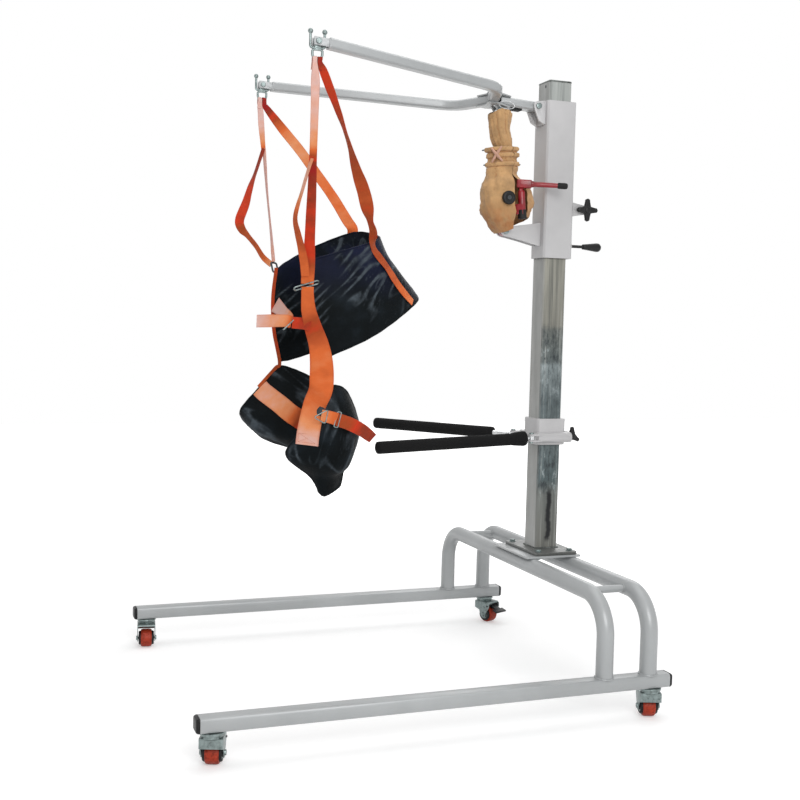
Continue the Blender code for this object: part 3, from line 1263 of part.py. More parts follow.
def main():
    for old in list(bpy.data.objects):
        bpy.data.objects.remove(old)
    paint = material("silver_paint", (0.42, 0.45, 0.46), 0.38, 0.35)
    sleeve_paint = material("sleeve_paint", (0.54, 0.57, 0.59), 0.40, 0.25)
    galvanised = material("galvanised_steel", (0.30, 0.32, 0.31), 0.32, 0.85)
    zinc = material("zinc_plate", (0.34, 0.41, 0.42), 0.35, 0.80)
    chrome = material("chrome", (0.70, 0.71, 0.72), 0.12, 1.0)
    black = material("black_plastic", (0.012, 0.012, 0.013), 0.45)
    foam = material("black_foam", (0.014, 0.014, 0.014), 0.90)
    nylon = material("nylon_pad", (0.70, 0.69, 0.64), 0.55)
    red = material("red_enamel", (0.42, 0.020, 0.030), 0.30, 0.1)
    wheel_look = material("wheel_core", (0.015, 0.012, 0.014), 0.50)
    tyre_look = material("orange_polyurethane", (0.62, 0.080, 0.030), 0.42)
    pad_cloth = material("black_nylon_cloth", (0.006, 0.008, 0.012), 0.50)
    webbing = material("orange_webbing", (0.80, 0.22, 0.060), 0.70)
    beige = material("beige_cloth", (0.52, 0.32, 0.15), 0.85)

    build_legs(paint, black)
    build_arches(paint)
    build_mast(galvanised)
    build_casters(zinc, wheel_look, tyre_look, black)
    build_sleeve(sleeve_paint, nylon, black)
    build_brackets(sleeve_paint, zinc)
    build_boom(paint, zinc)
    build_jack(red, chrome, black, beige)
    build_collar(sleeve_paint, black, foam, chrome, zinc)
    build_sling(pad_cloth, webbing, zinc)


main()
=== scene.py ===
"""Looks of the gait trainer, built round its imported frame.

Metres, +Z up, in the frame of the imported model: the camera stands on the +X side, and the
mast is at the +Y end. "Right" is the +X side. Tables marked mm are in millimetres.
"""

import json
import math

import bmesh
import bpy
from mathutils import Matrix, Vector, noise
from mathutils.bvhtree import BVHTree


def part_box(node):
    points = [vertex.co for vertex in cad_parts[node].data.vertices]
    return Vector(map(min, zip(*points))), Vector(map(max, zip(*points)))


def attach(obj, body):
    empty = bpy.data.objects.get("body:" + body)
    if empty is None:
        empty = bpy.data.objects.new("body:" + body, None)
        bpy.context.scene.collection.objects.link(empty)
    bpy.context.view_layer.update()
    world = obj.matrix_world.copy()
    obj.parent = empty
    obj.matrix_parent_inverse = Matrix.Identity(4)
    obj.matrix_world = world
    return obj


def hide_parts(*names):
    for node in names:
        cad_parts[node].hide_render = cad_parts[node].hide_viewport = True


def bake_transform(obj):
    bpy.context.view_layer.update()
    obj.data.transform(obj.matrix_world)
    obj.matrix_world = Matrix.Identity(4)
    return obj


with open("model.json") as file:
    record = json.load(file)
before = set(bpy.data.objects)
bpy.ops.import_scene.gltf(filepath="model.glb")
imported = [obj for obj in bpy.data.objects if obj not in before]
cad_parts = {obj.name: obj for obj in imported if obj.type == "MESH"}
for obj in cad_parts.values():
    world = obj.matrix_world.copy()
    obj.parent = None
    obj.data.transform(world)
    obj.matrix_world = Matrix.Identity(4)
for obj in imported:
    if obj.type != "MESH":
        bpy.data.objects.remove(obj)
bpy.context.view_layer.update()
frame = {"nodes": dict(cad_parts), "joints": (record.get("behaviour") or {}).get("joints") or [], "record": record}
scene = bpy.context.scene
scene.view_settings.view_transform = "Standard"
SLOTS = {part["node"]: part["material_slot"] for part in frame["record"]["subparts"]}
BODIES = {node: body for body, nodes in frame["record"]["behaviour"]["bodies"].items() for node in nodes}
JOINTS = {joint["name"]: joint for joint in frame["joints"]}

X_AXIS, Y_AXIS, Z_AXIS = Vector((1, 0, 0)), Vector((0, 1, 0)), Vector((0, 0, 1))
SIDES = (("right", 1.0), ("left", -1.0))

# Camera
CAMERA_PLACE = (3.379, -1.241, 1.118)
CAMERA_TURN, CAMERA_TILT, CAMERA_ROLL = (math.radians(a) for a in (69.523, 3.728, 1.389))
CAMERA_LENS = 51.86

# Base frame and casters
ARCH_R = 0.025
ARCH_YS = {"arch_front": 0.445, "arch_rear": 0.589}
ARCH_FOOT_Z, ARCH_TOP_Z = 0.133, 0.357
ARCH_BEND_R = 0.110
LEG_X = 0.575
TIE_X, TIE_R = 0.460, 0.011
MAST_Y = 0.530
MAST_HALF = 0.040
FLANGE_TOP = 0.3986
FOOT_BOLT_XS, FOOT_BOLT_YS = (-0.095, 0.095), (-0.056, 0.056)
WELD_GAP = 0.0010
WHEEL_R = 0.030
TYRE_HALF = 0.0180

# Boom and sling
BOOM_PIVOT = Vector((0.0, 0.458, 1.826))
BOOM_RISE = math.radians(3.6)
HOOK_BOLT_Z = 1.87752
HOOK_BALL_R = 0.0072
BAIL_DROP = 0.0330
BAIL_X, BAIL_Y, BAIL_Z = 0.317, -0.36088, HOOK_BOLT_Z - BAIL_DROP
BAIL_R = 0.0140
BAIL_ROD = 0.0036
WEB_T = 0.0022
OUT = Vector((0.94, -0.34, 0.0))

# Jack
JACK = Matrix.Translation((0.0, 0.360, 1.425)) @ Matrix.Rotation(math.radians(4.28), 4, "X")
PUMP_XY = (0.052, 0.044)
PUMP_Z = 0.146
LEVER_WAY = Vector((0.394, 0.912, -0.110)).normalized()

# Handrails
RAIL_PIVOT = (0.066, 0.450, 0.765)
RAIL_ANGLES = {"right": math.radians(8.0), "left": math.radians(-54.0)}
RAIL_DROOPS = {"right": math.radians(1.6), "left": 0.0}
RAIL_LENGTH = 0.560
RAIL_ROD_R = 0.008
GRIP_R = 0.019


# Materials

class Look:
    """One material. Its methods add nodes and return their output sockets."""

    def __init__(self, name, roughness, metallic=0.0, **constants):
        self.material = bpy.data.materials.new(name)
        self.material.use_nodes = True
        self.tree = self.material.node_tree
        self.shader = self.tree.nodes["Principled BSDF"]
        for key, value in {"Roughness": roughness, "Metallic": metallic, **constants}.items():
            self.shader.inputs[key.replace("_", " ")].default_value = value
        self.place = self.node("TexCoord").outputs["Object"]

    def node(self, kind, inputs=(), **settings):
        return add_node(self.tree, kind, inputs, **settings)

    def scaled(self, scale, vector=None):
        return self.node("Mapping", {"Vector": vector or self.place, "Scale": scale}).outputs[0]

    def noise(self, scale, detail=3.0, rough=0.55, stretch=None, vector=None):
        vector = self.scaled(stretch, vector) if stretch else self.place
        return self.node("TexNoise", {"Vector": vector, "Scale": scale, "Detail": detail,
                                      "Roughness": rough}).outputs["Fac"]

    def cells(self, scale):
        return self.node("TexVoronoi", {"Vector": self.place, "Scale": scale}).outputs["Distance"]

    def waves(self, scale, vector, axis):
        return self.node("TexWave", {"Vector": vector, "Scale": scale, "Distortion": 0.0},
                         bands_direction=axis).outputs["Fac"]

    def part(self, index, vector=None):
        return self.node("SeparateXYZ", {0: vector or self.place}).outputs[index]

    def attribute(self, name):
        return self.node("Attribute", attribute_name=name).outputs["Fac"]

    def remap(self, value, low, high, start=0.0, end=1.0):
        return self.node("MapRange", {"Value": value, "From Min": start, "From Max": end,
                                      "To Min": low, "To Max": high}).outputs[0]

    def maths(self, operation, first, second=0.0):
        return self.node("Math", {0: first, 1: second}, operation=operation).outputs[0]

    def ramp(self, value, *stops):
        ramp = self.node("ValToRGB", {"Fac": value})
        elements = ramp.color_ramp.elements
        elements[0].position, elements[1].position = stops[0][0], stops[-1][0]
        for position, _ in stops[1:-1]:
            elements.new(position)
        for element, (_, color) in zip(elements, stops):
            element.color = (*color, 1.0)
        return ramp.outputs["Color"]

    def tones(self, value, color, *stops):
        """Ramp of one colour, from places and how bright it is there."""
        return self.ramp(value, *((place, shade(color, factor)) for place, factor in stops))

    def mixed(self, factor, first, second):
        first, second = (c if isinstance(c, bpy.types.NodeSocket) else (*c, 1.0) for c in (first, second))
        return self.node("Mix", {0: factor, 6: first, 7: second}, data_type="RGBA").outputs[2]

    def bump(self, height, distance, strength=1.0):
        """Bump nodes stack: each call works on the one before."""
        normal = self.shader.inputs["Normal"]
        before = {"Normal": normal.links[0].from_socket} if normal.links else {}
        made = self.node("Bump", {"Height": height, "Distance": distance, "Strength": strength, **before})
        self.tree.links.new(made.outputs[0], normal)

    def color(self, socket):
        self.tree.links.new(socket, self.shader.inputs["Base Color"])

    def rough(self, socket):
        self.tree.links.new(socket, self.shader.inputs["Roughness"])


def add_node(tree, kind, inputs=(), **settings):
    """Adds a shader node; an input is a value or the socket that feeds it."""
    made = tree.nodes.new("ShaderNode" + kind)
    for key, value in settings.items():
        setattr(made, key, value)
    for key, value in dict(inputs).items():
        if isinstance(value, bpy.types.NodeSocket):
            tree.links.new(value, made.inputs[key])
        else:
            made.inputs[key].default_value = value
    return made


def shade(color, factor):
    return tuple(min(1.0, c * factor) for c in color)


def painted(name, color, roughness):
    """Powder coat: orange peel, soft clouding, fine flake and a few scuffs."""
    look = Look(name, roughness, 0.12, Coat_Weight=0.15, Coat_Roughness=0.25)
    base = look.tones(look.noise(5.0, 4.0), color, (0.30, 0.90), (0.70, 1.07))
    base = look.mixed(look.remap(look.noise(1400.0, 1.0), 0.0, 0.35, 0.45, 0.75), base, shade(color, 1.25))
    scuff = look.remap(look.noise(28.0, 6.0, 0.7, (1.0, 0.25, 1.0)), 0.0, 0.55, 0.66, 0.78)
    look.color(look.mixed(scuff, base, shade(color, 0.62)))
    look.rough(look.remap(look.noise(40.0), roughness - 0.07, roughness + 0.10))
    look.bump(look.noise(420.0, 2.0), 0.00012)
    look.bump(look.noise(60.0, 2.0), 0.00020)
    return look.material


def streaked_steel(name, color):
    """Galvanised tube: spangle, drawn streaks along Z, and darker weather stains."""
    look = Look(name, 0.30, 0.75)
    streak = look.noise(1.0, 6.0, 0.62, (55.0, 55.0, 2.6))
    blotch = look.noise(1.0, 4.0, 0.6, (9.0, 9.0, 5.5))
    spangle = look.cells(150.0)
    base = look.tones(streak, color, (0.34, 0.22), (0.46, 0.80), (0.56, 1.0), (0.68, 1.9))
    base = look.mixed(look.remap(blotch, 0.0, 0.75, 0.50, 0.68), base, shade(color, 0.28))
    look.color(look.mixed(look.remap(spangle, 0.0, 0.22), base, shade(color, 1.5)))
    look.rough(look.remap(streak, 0.20, 0.46, 0.3, 0.7))
    look.bump(streak, 0.0004)
    look.bump(spangle, 0.00012)
    return look.material


def plated(name, color, roughness, metallic=0.85):
    """Plated steel: faint brushed lines, fingerprints and small stains."""
    look = Look(name, roughness, metallic)
    stains_and_shade = look.noise(90.0, 4.0)
    fine = look.noise(1200.0, 2.0)
    base = look.tones(stains_and_shade, color, (0.32, 0.62), (0.55, 1.0), (0.75, 1.35))
    look.color(look.mixed(look.remap(fine, 0.0, 0.3, 0.4, 0.8), base, shade(color, 0.7)))
    look.rough(look.remap(stains_and_shade, roughness * 0.7, roughness * 1.45, 0.3, 0.7))
    look.bump(fine, 0.00005)
    return look.material


def moulded(name, color, roughness):
    """Moulded plastic or rubber with a fine spark-eroded grain and dulled patches."""
    look = Look(name, roughness, Specular_IOR_Level=0.28)
    patch = look.noise(35.0, 4.0)
    look.color(look.tones(patch, color, (0.3, 0.75), (0.7, 1.5)))
    look.rough(look.remap(patch, roughness - 0.08, roughness + 0.12))
    look.bump(look.noise(900.0, 2.0), 0.00012)
    return look.material


def foam(name, color):
    """Closed-cell foam sleeve: burst cells over a soft uneven skin."""
    look = Look(name, 0.85, Specular_IOR_Level=0.12)
    cell = look.cells(1500.0)
    look.color(look.mixed(look.remap(cell, 0.0, 0.8, 0.1, 0.7), shade(color, 0.5), shade(color, 1.7)))
    look.bump(cell, 0.0005, 0.8)
    look.bump(look.noise(70.0, 3.0), 0.0012, 0.6)
    return look.material


def enamel(name, color):
    """Glossy thick enamel with a slight orange peel and dust in the hollows."""
    look = Look(name, 0.30, 0.0, Coat_Weight=0.35, Coat_Roughness=0.10, Specular_IOR_Level=0.35)
    look.color(look.tones(look.noise(30.0), color, (0.3, 0.6), (0.72, 1.25)))
    look.rough(look.remap(look.noise(160.0, 4.0), 0.22, 0.46))
    look.bump(look.noise(260.0, 2.0), 0.0003)
    return look.material


def tyre_rubber(name, color):
    """Polyurethane tread with ground-in dirt."""
    look = Look(name, 0.46, 0.0, Specular_IOR_Level=0.30)
    dirt = look.remap(look.noise(140.0, 5.0, 0.65), 0.0, 0.70, 0.46, 0.68)
    base = look.tones(look.noise(40.0), color, (0.3, 0.80), (0.7, 1.25))
    look.color(look.mixed(dirt, base, shade(color, 0.28)))
    look.rough(look.remap(dirt, 0.40, 0.70, 0.0, 0.70))
    look.bump(look.noise(700.0), 0.00015)
    return look.material


# Webbing colours from shaded deep red (0), through the webbing's own orange, to a lit pale pink (1): painted light
# and shade
WEB_SHADING = (
    (0.0, (0.38, 0.008, 0.010)), (0.10, (0.30, 0.036, 0.011)), (0.22, (0.72, 0.042, 0.009)),
    (0.36, (0.44, 0.070, 0.013)), (0.46, (0.62, 0.110, 0.024)), (0.60, (0.86, 0.175, 0.038)),
    (0.80, (0.96, 0.36, 0.15)), (1.0, (0.93, 0.62, 0.56)))
WEB_RIB = 0.0016
WEB_WARP = 0.0011


def webbing(name):
    """Woven webbing: ribs across, warp along, darker selvedges, painted light and shade from the mesh."""
    look = Look(name, 0.70, Sheen_Weight=0.04, Sheen_Roughness=0.45, Specular_IOR_Level=0.25)
    uv = look.node("UVMap", uv_map="web").outputs["UV"]
    twill = look.waves(1.0, look.scaled((0.5 / WEB_WARP, 0.5 / WEB_RIB, 1.0), uv), "DIAGONAL")
    broad = look.noise(1.0, 3.0, 0.5, (22.0, 34.0, 1.0), uv)
    # Painted light and shade from the stations, with a little random variation
    painted_shading = look.maths("ADD", look.attribute("painted_shading"), look.remap(broad, -0.045, 0.045, 0.3, 0.7))
    base = look.ramp(painted_shading, *WEB_SHADING)
    base = look.mixed(look.remap(twill, 0.0, 0.16), base, (0.40, 0.06, 0.015))
    edge = look.remap(look.attribute("across"), 0.0, 0.40, 0.80, 1.0)
    look.color(look.mixed(edge, base, (0.50, 0.070, 0.020)))
    look.bump(look.waves(1.0, look.scaled((1.0, 0.5 / WEB_RIB, 1.0), uv), "Y"), 0.00025)
    look.bump(twill, 0.00020)
    return look.material


BLACK, WHITE = (0, 0, 0), (1, 1, 1)
# The mast's colours, and how stained it is, at shares of the way from 0.40 to 1.90 m up
MAST_TONES = (
    (0.0, (0.15, 0.15, 0.135)), (0.12, (0.15, 0.16, 0.15)), (0.15, (0.08, 0.11, 0.115)),
    (0.24, (0.125, 0.155, 0.160)), (0.32, (0.10, 0.125, 0.13)), (0.40, (0.20, 0.235, 0.24)),
    (0.405, (0.105, 0.125, 0.125)), (0.475, (0.12, 0.13, 0.12)), (0.485, (0.22, 0.215, 0.185)),
    (0.63, (0.30, 0.295, 0.255)), (0.95, (0.37, 0.39, 0.375)))
MAST_STAINS = ((0.10, BLACK), (0.14, WHITE), (0.24, (0.8, 0.8, 0.8)), (0.30, (0.4, 0.4, 0.4)), (0.41, WHITE),
               (0.47, (0.7, 0.7, 0.7)), (0.50, BLACK))


def mast_steel(name):
    """Galvanised mast. The two sides along X are streaked and stained, the others plain."""
    look = Look(name, 0.36, 0.45)
    normal = look.part(0, look.node("NewGeometry").outputs["Normal"])
    side = look.remap(look.maths("ABSOLUTE", normal), 0.0, 1.0, 0.4, 0.8)
    height = look.remap(look.part(2), 0.0, 1.0, 0.40, 1.90)
    streak = look.noise(1.0, 6.0, 0.62, (46.0, 90.0, 2.2))
    mottle = look.noise(1.0, 6.0, 0.70, (60.0, 60.0, 26.0))
    stained = look.ramp(height, *MAST_STAINS)
    tones = look.ramp(height, *MAST_TONES)
    base = look.mixed(look.remap(streak, 0.65, 0.0, 0.34, 0.52), tones, (0.055, 0.062, 0.060))
    base = look.mixed(look.remap(streak, 0.0, 0.6, 0.58, 0.72), base, (0.50, 0.51, 0.49))
    dark = look.maths("MULTIPLY", look.remap(mottle, 1.0, 0.0, 0.36, 0.50), stained)
    base = look.mixed(dark, base, (0.030, 0.038, 0.042))
    pale = look.maths("MULTIPLY", look.remap(mottle, 0.0, 0.9, 0.56, 0.70), stained)
    base = look.mixed(pale, base, (0.42, 0.47, 0.48))
    # The mask named slot is a narrow dark vertical streak, painted into the colour down the middle of the faces
    # along X, 0.42 to 0.61 m up
    wobble = look.remap(look.noise(1.0, 3.0, 0.5, (1.0, 1.0, 22.0)), -0.006, 0.006, 0.3, 0.7)
    off = look.maths("ABSOLUTE", look.maths("ADD", look.maths("ADD", look.part(1), -0.534), wobble))
    slot = look.maths("MULTIPLY", look.remap(off, 1.0, 0.0, 0.0050, 0.0120),
                      look.ramp(height, (0.012, BLACK), (0.022, WHITE), (0.118, WHITE), (0.138, BLACK)))
    base = look.mixed(slot, base, (0.008, 0.009, 0.010))
    plain = look.ramp(look.noise(1.0, 4.0, 0.6, (20.0, 20.0, 5.0)), (0.32, (0.27, 0.275, 0.265)),
                      (0.55, (0.34, 0.345, 0.335)), (0.72, (0.40, 0.405, 0.395)))
    look.color(look.mixed(look.remap(look.part(2), 0.62, 0.0, 0.3990, 0.4010), look.mixed(side, plain, base),
                          (0.085, 0.090, 0.088)))
    look.rough(look.remap(streak, 0.26, 0.50, 0.3, 0.7))
    look.bump(streak, 0.0003)
    look.bump(look.cells(150.0), 0.00012)
    return look.material


def pad_cloth(name):
    """Coated black nylon: fine plain weave, painted highlights on its ridges, a blue cast high up."""
    look = Look(name, 0.46, 0.0, Specular_IOR_Level=0.07)
    blue = look.maths("MULTIPLY", look.remap(look.part(2), 0.0, 1.0, 1.18, 1.34),
                      look.remap(look.noise(9.0), 0.1, 1.0, 0.38, 0.60))
    base = look.ramp(look.noise(12.0, 4.0), (0.32, (0.0012, 0.0022, 0.0026)), (0.55, (0.0030, 0.0050, 0.0062)),
                     (0.72, (0.0085, 0.0125, 0.0165)))
    base = look.mixed(blue, base, (0.0090, 0.0120, 0.0340))
    # Painted highlight: a lighter colour along the ridges of the creases
    ridge_highlight = look.maths("MULTIPLY", look.remap(look.attribute("crease"), 0.0, 0.85, 0.05, 0.42),
                      look.remap(look.noise(30.0), 0.30, 1.0, 0.35, 0.60))
    look.color(look.mixed(ridge_highlight, base, (0.075, 0.092, 0.108)))
    look.rough(look.remap(look.noise(26.0, 5.0), 0.44, 0.64))
    look.bump(look.noise(1.0, 6.0, 0.62, (26.0, 14.0, 40.0)), 0.0040, 0.7)
    weave = look.maths("MULTIPLY", look.waves(620.0, look.place, "X"), look.waves(620.0, look.place, "Z"))
    look.bump(weave, 0.00010, 0.8)
    return look.material


def cotton(name, color):
    """Gathered cotton twill, faded in patches, with painted shade low down and in its folds."""
    look = Look(name, 0.85, Sheen_Weight=0.20, Sheen_Roughness=0.5)
    fade = look.noise(26.0, 5.0)
    base = look.tones(fade, color, (0.30, 0.70), (0.52, 1.0), (0.74, 1.20))
    slant = look.node("Mapping", {"Vector": look.place, "Rotation": (0.5, 0.4, 0.6)}).outputs[0]
    twill = look.waves(380.0, slant, "DIAGONAL")
    # Painted shade low down on the bag, broken up by the fade noise
    stains_and_shade = look.maths("MULTIPLY", look.remap(look.part(2), 0.85, 0.0, 1.455, 1.530),
                       look.remap(fade, 0.2, 1.0, 0.38, 0.56))
    base = look.mixed(stains_and_shade, base, (0.40, 0.155, 0.050))
    # Painted shade in the folds, deeper where the cloth bends inwards
    base = look.mixed(look.remap(look.attribute("hollow"), 0.0, 0.60, 0.20, 1.0), base, (0.38, 0.155, 0.050))
    look.color(look.mixed(look.remap(twill, 0.0, 0.16), base, shade(color, 0.5)))
    look.bump(twill, 0.0002)
    look.bump(look.noise(1.0, 4.0, 0.55, (46.0, 46.0, 24.0)), 0.0060, 0.6)
    return look.material


LOOKS = {
    "silver_paint": painted("silver_powder_coat", (0.40, 0.415, 0.42), 0.36),
    "sleeve_paint": painted("light_silver_paint", (0.50, 0.495, 0.50), 0.38),
    "galvanised_steel": streaked_steel("galvanised_tube", (0.165, 0.178, 0.170)),
    "zinc_plate": plated("bright_zinc", (0.24, 0.290, 0.285), 0.32, 0.70),
    "chrome": plated("bright_rod", (0.66, 0.67, 0.68), 0.16, 0.95),
    "black_plastic": moulded("black_moulding", (0.0060, 0.0060, 0.0065), 0.42),
    "black_foam": foam("black_foam_sleeve", (0.0085, 0.0085, 0.0088)),
    "nylon_pad": moulded("natural_nylon", (0.62, 0.61, 0.56), 0.50),
    "red_enamel": enamel("red_enamel", (0.30, 0.0085, 0.0160)),
    "wheel_core": moulded("wheel_nylon", (0.0060, 0.0052, 0.0055), 0.48),
    "orange_tyre": tyre_rubber("orange_polyurethane", (0.38, 0.036, 0.012)),
    "pad_cloth": pad_cloth("coated_black_nylon"),
    "orange_webbing": webbing("orange_webbing"),
    "beige_cloth": cotton("beige_twill", (0.60, 0.355, 0.160)),
}
THREAD = moulded("orange_thread", (0.50, 0.11, 0.035), 0.70)
DARK_STEEL = plated("dark_steel", (0.075, 0.080, 0.085), 0.42)
RUBBER = moulded("black_rubber", (0.0075, 0.0075, 0.0075), 0.70)
MAST_LOOK = mast_steel("galvanised_mast")


# Mesh helpers

def mm(value):
    """Millimetres to metres, through nested rows of numbers."""
    return value / 1000 if isinstance(value, (int, float)) else [mm(v) for v in value]


def finished(name, bm, look, smooth=38.0):
    """Object from the mesh, with its edges sharp where they bend more than an angle in degrees."""
    bmesh.ops.recalc_face_normals(bm, faces=bm.faces)
    mesh = bpy.data.meshes.new(name)
    bm.to_mesh(mesh)
    bm.free()
    mesh.shade_smooth()
    mesh.set_sharp_from_angle(angle=math.radians(smooth))
    mesh.materials.append(look)
    made = bpy.data.objects.new(name, mesh)
    scene.collection.objects.link(made)
    return made


def softened(piece, width, segments=2):
    """Rounds the piece's edges."""
    bevel = piece.modifiers.new("edge", "BEVEL")
    bevel.width = width
    bevel.segments = segments
    bevel.limit_method = "ANGLE"
    bevel.angle_limit = math.radians(35.0)
    graph = bpy.context.evaluated_depsgraph_get()
    mesh = bpy.data.meshes.new_from_object(piece.evaluated_get(graph))
    piece.modifiers.clear()
    piece.data = mesh
    mesh.shade_smooth()
    mesh.set_sharp_from_angle(angle=math.radians(42))
    return piece


def settle(piece, body, slot, *nodes):
    """The piece rides on a body and stands for nodes, which it hides. The slot is not used."""
    if body:
        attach(piece, body)
    if nodes:
        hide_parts(*nodes)
    return piece


def build(name, body, slot, *shapes, nodes=(), look=None, smooth=38.0, edge=None):
    """Piece of one or more shapes, each a function and what it takes after the mesh."""
    bm = bmesh.new()
    for shape, *values in shapes:
        shape(bm, *values)
    piece = finished(name, bm, look or LOOKS[slot], smooth)
    if edge:
        softened(piece, *edge)
    return settle(piece, body, slot, *nodes)


def smooth_rows(rows, steps):
    """Catmull-Rom curve through rows of numbers of any length."""
    padded = [[2 * a - b for a, b in zip(rows[0], rows[1])], *rows,
              [2 * a - b for a, b in zip(rows[-1], rows[-2])]]
    found = []
    for a, b, c, d in zip(padded, padded[1:], padded[2:], padded[3:]):
        for step in range(steps):
            t = step / steps
            found.append([0.5 * (2 * q + (r - p) * t + (2 * p - 5 * q + 4 * r - s) * t ** 2
                                 + (3 * q - p - 3 * r + s) * t ** 3) for p, q, r, s in zip(a, b, c, d)])
    found.append(list(rows[-1]))
    return found


def smooth_grid(rows, across, along):
    """Smooth columns of points through rows of control points."""
    lines = [smooth_rows(row, along) for row in rows]
    return [smooth_rows([line[k] for line in lines], across) for k in range(len(lines[0]))]


def tangents(path, closed=False):
    last = len(path) - 1
    found = []
    for i in range(last + 1):
        before = path[i - 1] if i or closed else path[i]
        after = path[(i + 1) % (last + 1)] if i < last or closed else path[i]
        found.append((Vector(after) - Vector(before)).normalized())
    return found


def arc(centre, radius, start, end, steps):
    return [(centre[0] + radius * math.cos(start + (end - start) * i / steps),
             centre[1] + radius * math.sin(start + (end - start) * i / steps)) for i in range(steps + 1)]


def circle(radius, steps):
    return arc((0, 0), radius, 0.0, math.tau, steps)[:-1]


def add_values(piece, name, values):
    """A number for each point of the mesh, which its look reads by name."""
    piece.data.attributes.new(name, "FLOAT", "POINT").data.foreach_set("value", values)


def mirrored(profile):
    return profile + [(r, -z) for r, z in reversed(profile)]


def skin(bm, rings, closed=False):
    """Surface over rings of points, joined in a circle if closed, or else with both ends filled."""
    rows = [[bm.verts.new(p) for p in ring] for ring in rings]
    for low, high in list(zip(rows, rows[1:])) + ([(rows[-1], rows[0])] if closed else []):
        for i in range(len(low)):
            j = (i + 1) % len(low)
            bm.faces.new((low[i], low[j], high[j], high[i]))
    if not closed:
        bm.faces.new(rows[0])
        bm.faces.new(rows[-1][::-1])


def sweep(bm, path, radius, steps=24, closed=False, up=Z_AXIS, bead=None):
    """Round rod along a path; bead(i, k) scales the radius."""
    rings = []
    for i, (point, tangent) in enumerate(zip(path, tangents(path, closed))):
        side = tangent.cross(up)
        side = (side if side.length > 0.05 else tangent.cross(X_AXIS)).normalized()
        top = side.cross(tangent)
        r = radius[i] if isinstance(radius, list) else radius
        rings.append([Vector(point) + (side * x + top * y) * r * (bead(i, k) if bead else 1.0)
                      for k, (x, y) in enumerate(circle(1.0, steps))])
    skin(bm, rings, closed)


def turned(bm, profile, matrix, steps=40, closed=False):
    """Profile of (radius, height) turned about the matrix's Z."""
    skin(bm, [[matrix @ Vector((x, y, z)) for x, y in circle(r, steps)] for r, z in profile], closed)


def prism(bm, outline, offset):
    skin(bm, [outline, [p + Vector(offset) for p in outline]])


def block(bm, low, high, matrix):
    """Box between two corners, taken through a matrix."""
    ring = [(low[0], low[1]), (high[0], low[1]), (high[0], high[1]), (low[0], high[1])]
    skin(bm, [[matrix @ Vector((x, y, z)) for x, y in ring] for z in (low[2], high[2])])


def ring_path(centre, along, across, length, depth, corner):
    """Rounded rectangle in the plane of two directions."""
    along, across = Vector(along).normalized(), Vector(across).normalized()
    points = []
    for k, (sx, sy) in enumerate(((1, 1), (-1, 1), (-1, -1), (1, -1))):
        middle = (sx * (length / 2 - corner), sy * (depth / 2 - corner))
        points += [Vector(centre) + along * x + across * y
                   for x, y in arc(middle, corner, k * math.pi / 2, (k + 1) * math.pi / 2, 6)]
    return points


def rounded(path, times):
    """Closed path, evened out a few times."""
    for _ in range(times):
        path = [(path[k - 1] + path[k] * 2 + path[(k + 1) % len(path)]) / 4 for k in range(len(path))]
    return path


def wire(name, path, radius, look=None, body="sling", up=OUT, slot="zinc_plate"):
    return build(name, body, slot, (sweep, path, radius, 14, True, up), look=look, smooth=60)


# Rigid parts

# Nodes whose solids have the right shape, with the width of their rounded edges in mm
EDGES = {
    "leg": 0.8, "end_plug": 1.0, "mast_mount_plate": 1.0, "mast_top_plug": 0.8, "mast": 2.0,
    "caster_fork": 0.7, "brake_pedal": 1.0, "sleeve_clamp_knob": 1.2, "sleeve_liner": 0.4, "sleeve": 1.8,
    "index_plunger": 0.6, "boom_bracket": 1.0, "boom_pivot_pin": 0.6, "jack_bracket": 1.0,
    "jack_foot_pin": 0.6, "boom_root": 0.8, "arm": 0.9, "jack_top_pin": 0.6, "jack_body": 0.8,
    "jack_ram": 0.5, "rail_collar": 1.2, "rail_hinge_pin": 0.6, "collar_clamp_knob": 1.2}


def dress_rigid_nodes():
    """Copies of nodes, with seams welded, flat faces merged and edges rounded."""
    for node in frame["nodes"]:
        names = [name for name in EDGES if node == name or node.startswith(name + "_")]
        if not names:
            continue
        bm = bmesh.new()
        bm.from_mesh(frame["nodes"][node].data)
        bmesh.ops.remove_doubles(bm, verts=bm.verts, dist=0.000002)
        bmesh.ops.dissolve_limit(bm, angle_limit=math.radians(0.6), verts=bm.verts, edges=bm.edges)
        piece = finished(node + "_finish", bm, MAST_LOOK if node == "mast" else LOOKS[SLOTS[node]])
        softened(piece, mm(EDGES[max(names, key=len)]))
        settle(piece, BODIES[node], SLOTS[node], node)


# Base frame

def weld(name, path, radius, up=Z_AXIS, slot="silver_paint"):
    def ripple(i, k):
        return 1.0 + 0.22 * math.sin(i * 1.9) + 0.10 * noise.noise(Vector((i * 0.7, k, 3.1)))
    build(name, "base", slot, (sweep, path, radius, 8, True, up, ripple))


